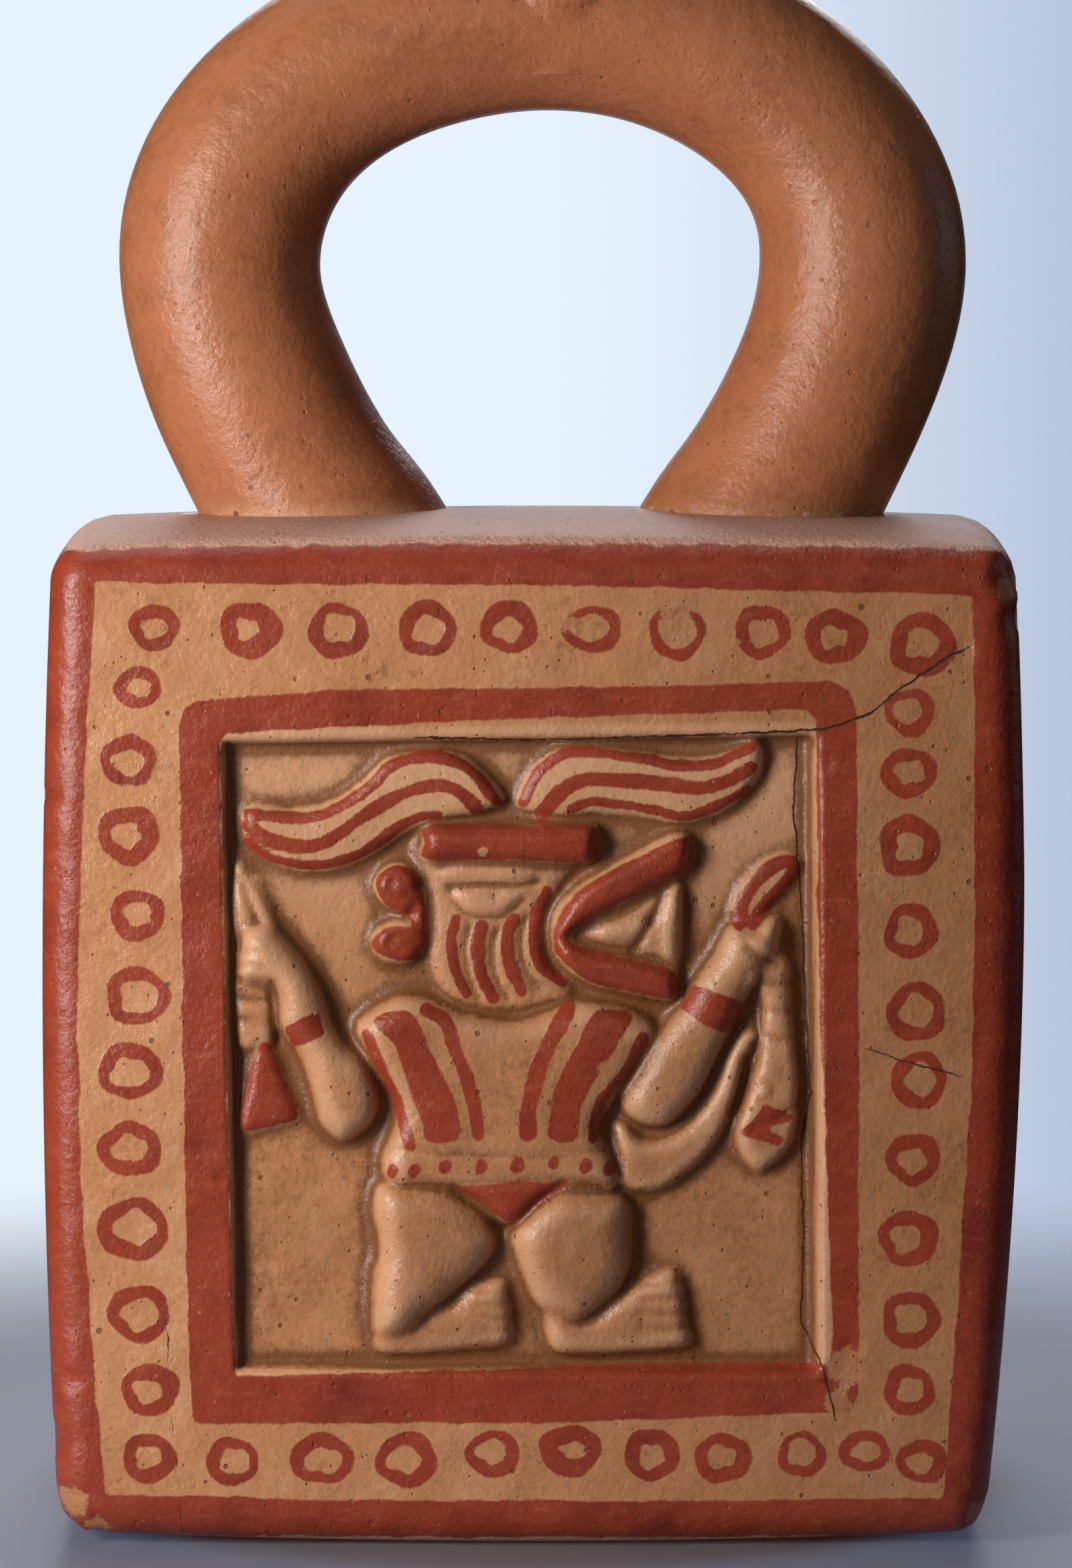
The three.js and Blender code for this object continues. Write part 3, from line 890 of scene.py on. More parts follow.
@dataclass
class ClayBox:
    """The body of the bottle, with a fine lattice on the carved front and a plainer one elsewhere.

    Attributes:
        mould: Where its skin lies.
        panel: The carved panel.
        fine: The spacing of the lattice on the panel.
        medium: The spacing on the rest of the front.
        coarse: The spacing elsewhere.
        edge_steps: How many lines go round each edge of the front.
        wall: How thick the wall is.
        fine_across: Where the fine lattice starts and ends, across.
        fine_up: The same upwards, from the middle of the front.
        plain_steps: How many lines go round each edge elsewhere.
        inner: The spacing of the lattice of the hollow.
        inner_steps: How many lines go round each of its edges.
        inner_rows: How many rows its sides get.
    """

    mould: Mould
    panel: CarvedPanel
    fine: float = 0.42
    medium: float = 0.75
    coarse: float = 2.3
    edge_steps: int = 7
    wall: float = 5.5
    fine_across: Point = (-37.2, 34.6)
    fine_up: Point = (-40.0, 37.8)
    plain_steps: int = 3
    inner: float = 5.0
    inner_steps: int = 2
    inner_rows: int = 10

    def _face(self, mould: Mould, across: Ruling, up: Ruling, side: int) -> tuple[Array, Array]:
        """Lays a lattice over the front or the back of a box.

        Args:
            mould: The box.
            across: Its upright lines.
            up: Its level lines.
            side: -1 for the front and 1 for the back.

        Returns:
            The points and the ways they face, one a row, level line by level line.
        """
        core_x, core_z = np.meshgrid(across.core, up.core)
        turn_x, turn_z = np.meshgrid(across.turn, up.turn)
        facing = np.stack([np.sin(turn_x), side * np.cos(turn_x) * np.cos(turn_z), np.sin(turn_z)], axis=-1)
        facing = facing.reshape(-1, 3)
        facing /= np.linalg.norm(facing, axis=1, keepdims=True)
        depth = np.full(core_x.shape, side * mould.core()[1])
        core = np.stack([core_x, depth, core_z], axis=-1).reshape(-1, 3)
        return mould.skin(core, facing), facing

    @staticmethod
    def _ring(rows: int, columns: int) -> Array:
        """Returns the places of a grid's rim, in order round it."""
        index = np.arange(rows * columns).reshape(rows, columns)
        return np.concatenate([index[0, :-1], index[:-1, -1], index[-1, :0:-1], index[:0:-1, 0]])

    def _plain_rulings(self, mould: Mould, spacing: float, steps: int) -> tuple[Ruling, Ruling]:
        """Rules a box evenly.

        Args:
            mould: The box.
            spacing: How far apart the lines are.
            steps: How many lines each rounded edge gets.

        Returns:
            The upright and the level lines.
        """
        reach_x, _, reach_z = mould.core()
        return (
            Ruling.across(reach_x, ((reach_x, spacing),), steps),
            Ruling.across(reach_z, ((reach_z, spacing),), steps),
        )

    def _front_rulings(self) -> tuple[Ruling, Ruling]:
        """Returns the lines of the front, close together over the panel."""
        reach_x, _, reach_z = self.mould.core()
        spans = (
            ((start, self.medium), (end, self.fine), (reach, self.medium))
            for reach, (start, end) in ((reach_x, self.fine_across), (reach_z, self.fine_up))
        )
        across, up = (Ruling.across(span[-1][0], span, self.edge_steps) for span in spans)
        return across, up

    @staticmethod
    def _turns(mould: Mould, core: Array, facing: Array) -> Array:
        """Measures how far round the box the points of a ring are.

        Args:
            mould: The box.
            core: The nearest point of the core to each, one a row.
            facing: The way the skin faces there, one a row.

        Returns:
            The turn of each from the first, in radians.
        """
        at = core + mould.edge * facing
        turns = np.arctan2(at[:, 2] / mould.half[2], at[:, 0] / mould.half[0])
        return np.mod(turns - turns[0] + 1e-9, 2 * math.pi)

    @staticmethod
    def _ring_parts(across: Ruling, up: Ruling) -> tuple[Array, Array]:
        """Finds the points round the rim of a face, at mid depth.

        Args:
            across: The upright lines.
            up: The level lines.

        Returns:
            The core and the facing of each, one a row.
        """
        core_x, core_z = (grid.ravel() for grid in np.meshgrid(across.core, up.core))
        turn_x, turn_z = (grid.ravel() for grid in np.meshgrid(across.turn, up.turn))
        ring = ClayBox._ring(len(up.core), len(across.core))
        facing = np.stack([np.sin(turn_x), np.zeros(len(turn_x)), np.sin(turn_z)], axis=1)[ring]
        facing /= np.linalg.norm(facing, axis=1, keepdims=True)
        core = np.stack([core_x, np.zeros(len(core_x)), core_z], axis=1)[ring]
        return core, facing

    def _closed(
        self, skin: Skin, mould: Mould, back: tuple[Ruling, Ruling], rows: int
    ) -> tuple[Array, Array]:
        """Adds the back and the sides of a box, up to just behind the front's rounded edge.

        Args:
            skin: The mesh being gathered.
            mould: The box.
            back: The upright and level lines of the back.
            rows: How many rows the sides get.

        Returns:
            The numbers of the foremost ring, and how far round each is.
        """
        across, up = back
        points, _ = self._face(mould, across, up, 1)
        numbers = skin.add(points)
        skin.weave(numbers.reshape(len(up.core), len(across.core)))
        core, facing = self._ring_parts(across, up)
        rings = [numbers[self._ring(len(up.core), len(across.core))]]
        reach = mould.core()[1]
        for row in range(1, rows):
            at = core.copy()
            at[:, 1] = reach * (1 - 2 * row / rows)
            rings.append(skin.add(mould.skin(at, facing)))
        closed = [np.append(ring, ring[0]) for ring in rings]
        skin.weave(np.stack(closed))
        return rings[-1], self._turns(mould, core, facing)

    def outside(self) -> bpy.types.Mesh:
        """Returns the outer skin with its carved front."""
        skin = Skin()
        across, up = self._front_rulings()
        points, facing = self._face(self.mould, across, up, -1)
        points = self._weathered(points, facing)
        flat = facing[:, 1] < -0.999
        x, y, z = points[flat].T
        points[flat, 1] = self.panel.carve(x, y, z)
        numbers = skin.add(points)
        skin.weave(numbers.reshape(len(up.core), len(across.core)))
        core, ring_facing = self._ring_parts(across, up)
        rim = numbers[self._ring(len(up.core), len(across.core))]
        rim_turns = self._turns(self.mould, core, ring_facing)
        plain = self._plain_rulings(self.mould, self.coarse, self.plain_steps)
        rows = round(2 * self.mould.core()[1] / self.coarse)
        ring, turns = self._closed(skin, self.mould, plain, rows)
        skin.zip(rim, rim_turns, ring, turns)
        return skin.mesh("outside")

    def _weathered(self, points: Array, facing: Array) -> Array:
        """Moves the front's skin by its slow waves and its chips.

        Args:
            points: The points, one a row.
            facing: The way the skin faces there, one a row.

        Returns:
            The moved points.
        """
        x, _, z = points.T
        inwards = -unevenness(x, z) * np.clip(-facing[:, 1], 0, 1) ** 2
        for chip in CHIPS:
            away = np.hypot(x - chip.x, z - chip.z) / chip.radius
            ragged = 1 + 0.25 * np.sin(3.1 * x + 1.7 * z) * np.sin(2.3 * z - 1.1 * x)
            inwards += chip.depth * np.clip(1 - away * away, 0, 1) * ragged
        return points - facing * inwards[:, None]

    def inside(self) -> bpy.types.Mesh:
        """Returns the hollow, which keeps the wall its full thickness behind the panel."""
        skin = Skin()
        mould = self.mould.drawn_in(self.wall)
        across, up = self._plain_rulings(mould, self.inner, self.inner_steps)
        points, _ = self._face(mould, across, up, -1)
        behind = self.panel.floor_y + self.wall
        x, z = points[:, 0], points[:, 2]
        points[:, 1] = np.where(self.panel.covers(x, z), np.maximum(points[:, 1], behind), points[:, 1])
        numbers = skin.add(points)
        skin.weave(numbers.reshape(len(up.core), len(across.core)))
        ring, turns = self._closed(skin, mould, (across, up), self.inner_rows)
        rim = numbers[self._ring(len(up.core), len(across.core))]
        core, facing = self._ring_parts(across, up)
        skin.zip(rim, self._turns(mould, core, facing), ring, turns)
        return skin.mesh("inside")


# --- The stirrup handle and the spout ---


class TubeSweep:
    """The Geometry Nodes tree that sweeps a round section along a line of vertices."""

    RADIUS = "tube_radius"

    def __init__(self) -> None:
        """Builds the tree with its named inputs."""
        self.tree = bpy.data.node_groups.new("clay tube", "GeometryNodeTree")
        face = self.tree.interface
        face.new_socket("Line", in_out="INPUT", socket_type="NodeSocketGeometry")
        face.new_socket("Sides", in_out="INPUT", socket_type="NodeSocketInt")
        face.new_socket("Thickness", in_out="INPUT", socket_type="NodeSocketFloat")
        face.new_socket("Clay", in_out="INPUT", socket_type="NodeSocketMaterial")
        face.new_socket("Tube", in_out="OUTPUT", socket_type="NodeSocketGeometry")
        graph = Graph(self.tree)
        given = graph.node("NodeGroupInput")
        line = graph.node("GeometryNodeMeshToCurve", inputs={"Mesh": given.outputs["Line"]})
        radius = graph.node(
            "GeometryNodeInputNamedAttribute", {"data_type": "FLOAT"}, {"Name": self.RADIUS}
        )
        scale = Signal(graph, radius.outputs["Attribute"]) * Signal(graph, given.outputs["Thickness"])
        section = graph.node(
            "GeometryNodeCurvePrimitiveCircle",
            inputs={"Resolution": given.outputs["Sides"], "Radius": 1.0},
        )
        swept = graph.node(
            "GeometryNodeCurveToMesh",
            inputs={
                "Curve": line.outputs["Curve"],
                "Profile Curve": section.outputs["Curve"],
                "Scale": scale,
                "Fill Caps": True,
            },
        )
        solid = graph.node("GeometryNodeRealizeInstances", inputs={"Geometry": swept.outputs["Mesh"]})
        dressed = graph.node(
            "GeometryNodeSetMaterial",
            inputs={"Geometry": solid.outputs["Geometry"], "Material": given.outputs["Clay"]},
        )
        graph.node("NodeGroupOutput", inputs={"Tube": dressed.outputs["Geometry"]})

    def sweep(
        self, name: str, line: Array, radii: Array, sides: int, clay: bpy.types.Material
    ) -> bpy.types.Object:
        """Sweeps one tube.

        Args:
            name: What to call it.
            line: The points of its middle line in millimetres, one a row.
            radii: Its radius at each point.
            sides: How many sides the section has.
            clay: The material it wears.

        Returns:
            The tube as a plain mesh object.
        """
        mesh = bpy.data.meshes.new(name)
        edges = [(i, i + 1) for i in range(len(line) - 1)]
        mesh.from_pydata((line * MM).tolist(), edges, [])
        layer = mesh.attributes.new(self.RADIUS, "FLOAT", "POINT")
        layer.data.foreach_set("value", (radii * MM).astype(np.float32))
        thread = bpy.data.objects.new(name, mesh)
        bpy.context.scene.collection.objects.link(thread)
        modifier = thread.modifiers.new("sweep", "NODES")
        modifier.node_group = self.tree
        items = self.tree.interface.items_tree
        sockets = {item.name: item.identifier for item in items if item.in_out == "INPUT"}
        modifier[sockets["Sides"]] = sides
        modifier[sockets["Thickness"]] = 1.0
        modifier[sockets["Clay"]] = clay
        return baked(thread)


def baked(thing: bpy.types.Object) -> bpy.types.Object:
    """Turns an object with modifiers into a plain mesh object.

    Args:
        thing: The object.

    Returns:
        The same object with its final mesh.
    """
    bpy.context.view_layer.update()
    graph = bpy.context.evaluated_depsgraph_get()
    mesh = bpy.data.meshes.new_from_object(thing.evaluated_get(graph), depsgraph=graph)
    thing.modifiers.clear()
    thing.data = mesh
    return thing


@dataclass(frozen=True)
class Stirrup:
    """The tubular handle: two legs that lean outwards and an arch over them.

    Attributes:
        middle_x: The middle of the arch, across.
        foot_half: Half the distance between the feet.
        arch_half: Half the width of the arch, to the middle of the tube.
        foot_z: The height of the feet; spring_z and crown_z are the arch's foot and top.
        radius: The tube's radius.
        bore: The radius of the hollow in it.
        crown_thinning: How much thinner the tube is over the crown, as a share.
        foot_flare: How much wider it is at the feet, as a share.
        leg_foot: How the legs bend: the height of the lower handle of the curve, as a share.
        leg_spring: The same for the upper handle, downwards.
        leg_lean: How far the lower handle leans out, as a share.
        foot_swell: How much the clay swells where a foot is luted on, as a share.
        swell_z: Where that swelling is full, and where it has gone.
        sides: How many sides the section has.
        steps: How many stretches each of the four curves gets.
        BY_HAND: The unevenness of the radius: size, turns along the tube, start.
        ROUND: How far the handles of a quarter circle reach, as a share of its radius.
    """

    middle_x: float = 0.9
    foot_half: float = 22.9
    arch_half: float = 38.9
    foot_z: float = 112.0
    spring_z: float = 150.0
    crown_z: float = 179.3
    radius: float = 12.3
    bore: float = 8.2
    crown_thinning: float = 0.08
    foot_flare: float = 0.07
    leg_foot: float = 0.32
    leg_spring: float = 0.31
    leg_lean: float = 0.44
    foot_swell: float = 0.05
    swell_z: Point = (116.0, 125.0)
    sides: int = 64
    steps: int = 34
    BY_HAND: ClassVar[tuple[Point3, ...]] = ((0.010, 17.0, 0.8), (0.007, 41.0, 2.0))
    ROUND: ClassVar[float] = 0.5523

    def _curve(self, handles: list[Point]) -> Array:
        """Runs along one cubic curve in the plane of the handle.

        Args:
            handles: Its four handles (x, z).

        Returns:
            Its points, without the last.
        """
        t = (np.arange(self.steps) / self.steps)[:, None]
        a, b, c, d = (np.array([x, 0.0, z]) for x, z in handles)
        return a * (1 - t) ** 3 + 3 * b * t * (1 - t) ** 2 + 3 * c * t * t * (1 - t) + d * t**3

    def line(self) -> Array:
        """Returns the line down the middle of the tube, from foot to foot."""
        rise, arch_rise = self.spring_z - self.foot_z, self.crown_z - self.spring_z
        lean = self.foot_half + (self.arch_half - self.foot_half) * self.leg_lean
        leg = [
            (self.foot_half, self.foot_z),
            (lean, self.foot_z + rise * self.leg_foot),
            (self.arch_half, self.spring_z - rise * self.leg_spring),
            (self.arch_half, self.spring_z),
        ]
        quarter = [
            (self.arch_half, self.spring_z),
            (self.arch_half, self.spring_z + arch_rise * self.ROUND),
            (self.arch_half * self.ROUND, self.crown_z),
            (0.0, self.crown_z),
        ]
        left = [self._curve([(-x, z) for x, z in part]) for part in (leg, quarter)]
        right = [self._curve(part[::-1]) for part in (quarter, leg)]
        foot = np.array([[self.foot_half, 0.0, self.foot_z]])
        whole = np.vstack([*left, *right, foot])
        whole[:, 0] += self.middle_x
        return whole

    def radii(self, line: Array) -> Array:
        """Gives the tube its thickness.

        Args:
            line: The line down its middle, one point a row.

        Returns:
            The radius at each point.
        """
        height = line[:, 2]
        thinner = self.crown_thinning * smooth(self.spring_z, self.crown_z, height)
        half_leg = (self.foot_z + self.spring_z) / 2
        flare = self.foot_flare * (1 - smooth(self.foot_z, half_leg, height))
        root = self.foot_swell * (1 - smooth(*self.swell_z, height))
        along = np.linspace(0, 1, len(line))
        by_hand = sum(size * np.sin(turns * along + start) for size, turns, start in self.BY_HAND)
        return self.radius * (1 - thinner + flare + root + by_hand)


@dataclass(frozen=True)
class Spout:
    """The upright spout on the crown of the stirrup.

    Attributes:
        x: Its axis, across.
        root_z: Where it starts inside the arch.
        rim_z: The height of its rim.
        profile: Its outer profile: how far below the rim each radius is reached, and the radius.
        root_radius: Its radius at the root.
        bore: The hollow's radius at the root and at the rim.
        rim_round: How much the rim is drawn in.
        step: How far apart the points of the axis are.
        overrun: How far the hollow runs on past the rim.
        sides: How many sides the section has.
    """

    x: float = 3.0
    root_z: float = 172.0
    rim_z: float = 235.0
    profile: tuple[Point, ...] = (
        (58.0, 11.06), (54.3, 12.0), (51.0, 12.1), (46.0, 11.3), (30.0, 10.6), (7.6, 10.3), (2.6, 10.7),
        (1.0, 10.9), (0.25, 10.75),
    )
    root_radius: float = 9.2
    bore: Point = (7.4, 8.0)
    rim_round: float = 0.35
    step: float = 2.0
    overrun: float = 2.0
    sides: int = 64

    def outside(self) -> tuple[Array, Array]:
        """Returns the points of the axis and the radius at each, from root to rim."""
        heights = [self.root_z, *(self.rim_z - drop for drop, _ in self.profile), self.rim_z]
        rim = self.profile[-1][1] - self.rim_round
        radii = [self.root_radius, *(radius for _, radius in self.profile), rim]
        knots = np.array(heights)
        plain_z = np.arange(self.root_z, self.rim_z - 4 * self.step, self.step)
        line = np.unique(np.concatenate([plain_z, knots]))
        return self._axis(line), np.interp(line, knots, radii)

    def inside(self) -> tuple[Array, Array]:
        """Returns the same for the hollow, which runs on past the rim."""
        line = np.array([self.root_z, self.rim_z + self.overrun])
        return self._axis(line), np.array(self.bore)

    def _axis(self, heights: Array) -> Array:
        """Returns points of the axis at the given heights."""
        return np.stack([np.full(len(heights), self.x), np.zeros(len(heights)), heights], axis=1)


# --- Paint, soil, wear and painted shade, as marks on the vertices ---


class Mark(Enum):
    """The marks that the clay's finish reads, by the names they have on the mesh."""

    BAND = "band"
    FRAME = "frame"
    RING_OUT = "ring_out"
    RING_IN = "ring_in"
    FIGURE = "figure"
    # the depth of the hollows, which the clay darkens with dirt and with painted shade
    HOLLOW = "hollow"
    WORN = "worn"
    PANEL = "panel"
    HANDLE = "handle"
    BARE = "bare"
    LOSS = "loss"


BORDER = Outline(
    (
        (-49.9, 6.6), (-51.5, 25.7), (-52.5, 44.0), (-52.9, 62.5), (-51.9, 89.9), (-50.4, 112.9),
        (-25.0, 112.7),
        (0.0, 112.7), (25.0, 112.1), (50.5, 111.5), (50.8, 89.9), (50.9, 71.5), (50.6, 53.3),
        (49.5, 34.9),
        (47.8, 6.2), (20.0, 5.9), (-20.0, 5.9),
    ),
    sharp=True,
)
FRAME_OUTSIDE = Outline(
    (
        (-39.6, 15.0), (-40.2, 25.7), (-40.6, 62.5), (-40.8, 96.6), (-40.0, 98.7), (-38.2, 99.4),
        (-22.6, 100.6),
        (6.5, 100.9), (33.9, 101.6), (36.2, 100.6), (37.0, 98.6), (37.2, 89.9), (37.7, 34.9),
        (37.8, 18.4),
        (36.8, 16.4), (0.0, 15.2),
    ),
    sharp=True,
)
FRAME_INSIDE = Outline(
    (
        (-34.6, 20.7), (-34.9, 25.7), (-35.5, 53.3), (-36.2, 94.4), (-35.4, 95.6), (-2.8, 97.3),
        (31.4, 98.3),
        (32.4, 97.2), (32.6, 90.0), (32.8, 71.5), (33.9, 45.0), (34.7, 25.7), (34.4, 22.0), (0.0, 21.5),
    ),
    sharp=True,
)


@dataclass(frozen=True)
class Ring:
    """A painted ring.

    Attributes:
        x: Its middle, across.
        z: Its middle, upwards.
        width: Its full width.
        height: Its full height.
        stroke: The width of the brush line.
    """

    x: float
    z: float
    width: float
    height: float
    stroke: float


RINGS = tuple(Ring(*row) for row in (
    # along the top
    (-43.7, 107.8, 6.0, 5.4, 1.5), (-32.6, 107.5, 7.2, 6.6, 2.2), (-22.5, 107.4, 6.9, 6.4, 1.5),
    (-12.3, 107.6, 6.8, 6.4, 1.5), (-2.8, 107.8, 6.6, 6.2, 1.7), (6.7, 107.6, 6.9, 5.5, 1.3),
    (16.4, 107.2, 6.6, 6.2, 1.2), (26.2, 107.3, 6.4, 6.2, 1.4), (34.7, 106.7, 7.3, 6.2, 1.9),
    (44.7, 105.7, 7.8, 7.3, 1.9),
    # down the left
    (-45.6, 100.8, 5.5, 4.8, 1.3), (-46.7, 92.4, 6.6, 5.9, 1.5), (-46.7, 83.8, 7.2, 6.9, 1.9),
    (-45.8, 74.5, 6.4, 6.0, 1.5), (-45.9, 65.1, 7.5, 7.0, 1.6), (-46.7, 56.4, 7.6, 6.6, 1.6),
    (-46.7, 47.3, 7.6, 6.4, 1.7), (-46.5, 37.9, 8.4, 7.4, 1.7), (-45.9, 28.0, 7.4, 6.8, 1.6),
    (-44.6, 19.0, 6.9, 6.1, 1.7), (-44.8, 10.9, 6.3, 5.9, 1.6),
    # along the foot
    (-35.1, 10.5, 6.2, 5.7, 1.3), (-24.7, 10.8, 7.6, 6.1, 1.6), (-14.8, 10.8, 7.2, 6.6, 1.6),
    (-4.8, 11.5, 6.4, 5.8, 1.5), (4.2, 11.9, 7.4, 6.0, 2.2), (13.7, 11.4, 6.5, 6.2, 1.6),
    (22.0, 11.0, 6.8, 5.9, 1.6), (31.1, 11.4, 5.7, 5.6, 1.2), (38.5, 11.8, 6.0, 5.0, 1.3),
    (45.2, 10.5, 6.0, 5.3, 1.4),
    # down the right
    (43.2, 98.0, 5.9, 5.5, 1.3), (43.1, 91.0, 6.6, 5.7, 1.5), (43.2, 82.6, 7.0, 7.3, 1.9),
    (43.5, 72.7, 6.2, 6.5, 1.5), (44.2, 63.2, 6.9, 6.9, 1.5), (44.5, 55.4, 6.5, 6.8, 1.5),
    (43.9, 46.2, 6.4, 6.1, 1.6), (43.4, 36.8, 6.9, 6.7, 1.7), (43.7, 27.2, 6.9, 6.8, 1.6),
    (43.6, 19.0, 6.1, 6.0, 1.5),
))

# where the slip has flaked or rubbed away: across, upwards, reach
LOSSES = (
    (16.4, 109.2, 3.4), (4.0, 108.2, 1.8), (8.0, 56.9, 1.3), (-5.9, 82.0, 1.1), (36.3, 21.6, 3.6),
    (35.4, 17.6, 2.6), (-53.9, 5.4, 3.4), (-51.0, 2.4, 2.4), (51.8, 4.0, 2.2), (54.6, 112.0, 2.4),
    (48.9, 104.6, 1.0), (22.8, 106.0, 1.4), (-8.4, 62.9, 1.2),
)


@dataclass
class Markings:
    """Works out every mark of the finish for points of the finished mesh.

    Attributes:
        mould: The box.
        panel: The carved panel.
        stirrup: The handle.
        front_y: How far forward the front starts.
        side_band: Half the width of the plain field on the sides.
        band_top: The height of the outer band's top at the corners.
        band_rise: How much higher it is in the middle.
        leg_z: The height where the legs of the stirrup meet the box.
        leg_slant: How much wider than deep a level section of a leg is.
        field_z: The foot and the top of the plain fields on the sides.
        back_field: Half the width of the back's plain field, and its top.
        free_z: The height above which no band is painted.
        handle_z: Where the handle's colour starts, and where it is full.
        base_z: How high the bare underside reaches.
    """

    mould: Mould
    panel: CarvedPanel
    stirrup: Stirrup
    front_y: float = -33.0
    side_band: float = 28.6
    band_top: float = 116.3
    band_rise: float = 0.9
    leg_z: float = 119.7
    leg_slant: float = 1.12
    field_z: Point = (6.5, 111.0)
    back_field: Point = (50.5, 111.5)
    free_z: float = 118.9
    handle_z: Point = (119.8, 121.6)
    base_z: float = 1.2

    def all(self, points: Array) -> dict[Mark, Array]:
        """Works out every mark.

        Args:
            points: The points in millimetres, one a row.

        Returns:
            The value of every mark at each point.
        """
        x, y, z = points.T
        handle = self._handle(points)
        top_z = self.band_top + self.band_rise * (1 - (x / self.mould.half[0]) ** 2)
        bare = np.where(handle > 0.5, -FAR, z - top_z)
        bare = np.where(self._by_a_leg(points), -0.05, bare)
        bare = np.maximum(bare, self.base_z - z)
        front = (y < self.front_y) & (handle < 0.5)
        ring_out, ring_in = self._rings(x, z)
        return {
            Mark.BAND: self._band(x, y, z, front),
            Mark.FRAME: self._on_front(front, x, z, self._frame),
            Mark.RING_OUT: np.where(front, ring_out, FAR),
            Mark.RING_IN: np.where(front, ring_in, FAR),
            Mark.FIGURE: np.where(front, self.panel.at(self.panel.paint, x, z), FAR),
            Mark.HOLLOW: np.where(front, self.panel.at(self.panel.hollows, x, z), 0.0),
            Mark.WORN: np.where(front, self.panel.at(self.panel.worn, x, z), 0.0),
            Mark.PANEL: np.where(front, self.panel.sunk(x, z), 0.0),
            Mark.HANDLE: handle,
            Mark.BARE: np.clip(bare, -FAR, FAR),
            Mark.LOSS: np.where(front, self._losses(x, z), 0.0),
        }

    def _on_front(self, front: Array, x: Array, z: Array, edge: Callable[[Array, Array], Array]) -> Array:
        """Reads a distance only where the front is.

        Args:
            front: True where it is.
            x: The places, across.
            z: The places, upwards.
            edge: What gives the distance for places.

        Returns:
            The distance at each place, and far away elsewhere.
        """
        found = np.full(x.shape, FAR)
        found[front] = edge(x[front], z[front])
        return found

    def _frame(self, x: Array, z: Array) -> Array:
        """Returns the distance from the inner band's edge, negative on the band."""
        return np.maximum(FRAME_OUTSIDE.edge(x, z), -FRAME_INSIDE.edge(x, z))

    def _band(self, x: Array, y: Array, z: Array, front: Array) -> Array:
        """Measures how far places are from the outer band.

        Args:
            x: The places, across.
            y: The same, in depth.
            z: The same, upwards.
            front: True where the front is.

        Returns:
            The distance from the band's edge, negative on the band.
        """
        found = self._on_front(front, x, z, lambda a, b: -BORDER.edge(a, b))
        low, high = self.field_z
        half, back_high = self.back_field
        side = np.minimum(self.side_band - np.abs(y), np.minimum(z - low, high - z))
        back = np.minimum(half - np.abs(x), np.minimum(z - low, back_high - z))
        behind = y > -self.front_y
        found = np.where(front, found, np.where(behind, back, side))
        return np.clip(np.where(z > self.free_z, FAR, found), -FAR, FAR)

    def _rings(self, x: Array, z: Array) -> tuple[Array, Array]:
        """Measures how far places are from the nearest painted ring.

        Args:
            x: The places, across.
            z: The places, upwards.

        Returns:
            The distances outside its outer edge and inside its inner edge.
        """
        outer, inner = np.full(x.shape, FAR), np.full(x.shape, FAR)
        for number, ring in enumerate(RINGS):
            near = (np.abs(x - ring.x) < 6.5) & (np.abs(z - ring.z) < 6.5)
            dx, dz = x[near] - ring.x, z[near] - ring.z
            away, turn = np.hypot(dx, dz), np.arctan2(dz, dx)
            half = 0.5 / np.sqrt((np.cos(turn) / ring.width) ** 2 + (np.sin(turn) / ring.height) ** 2)
            half *= 1 + 0.035 * np.sin(3 * turn + number) + 0.025 * np.sin(5 * turn + 2.3 * number)
            by_brush = 1 + 0.16 * np.sin(turn + 1.7 * number) + 0.1 * np.sin(4 * turn + number)
            stroke = ring.stroke * by_brush
            nearer = away - half < outer[near]
            outer[near] = np.where(nearer, away - half, outer[near])
            inner[near] = np.where(nearer, half - stroke - away, inner[near])
        return outer, inner

    def _losses(self, x: Array, z: Array) -> Array:
        """Finds where the slip is gone.

        Args:
            x: The places, across.
            z: The places, upwards.

        Returns:
            How much of it is gone at each, from 0 to 1.
        """
        gone = np.zeros(x.shape)
        for middle_x, middle_z, reach in LOSSES:
            gone = np.maximum(gone, 1 - smooth(0.3 * reach, reach, np.hypot(x - middle_x, z - middle_z)))
        return gone

    def _by_a_leg(self, points: Array) -> Array:
        """Tells which points lie where a leg of the stirrup meets the box.

        Args:
            points: The points in millimetres, one a row.

        Returns:
            True for each that does.
        """
        x, y, z = points.T
        leg = self.stirrup.line()[: self.stirrup.steps]
        foot = self.stirrup.middle_x - np.interp(self.leg_z, leg[:, 2], leg[:, 0])
        across = (np.abs(x - self.stirrup.middle_x) - foot) / self.leg_slant
        close = np.hypot(across, y) < 1.2 * self.stirrup.radius
        return close & (np.abs(z - self.leg_z) < 1.0)

    def _handle(self, points: Array) -> Array:
        """Returns 1 on the stirrup and the spout and 0 on the box."""
        return smooth(*self.handle_z, points[:, 2])


# --- Node trees ---


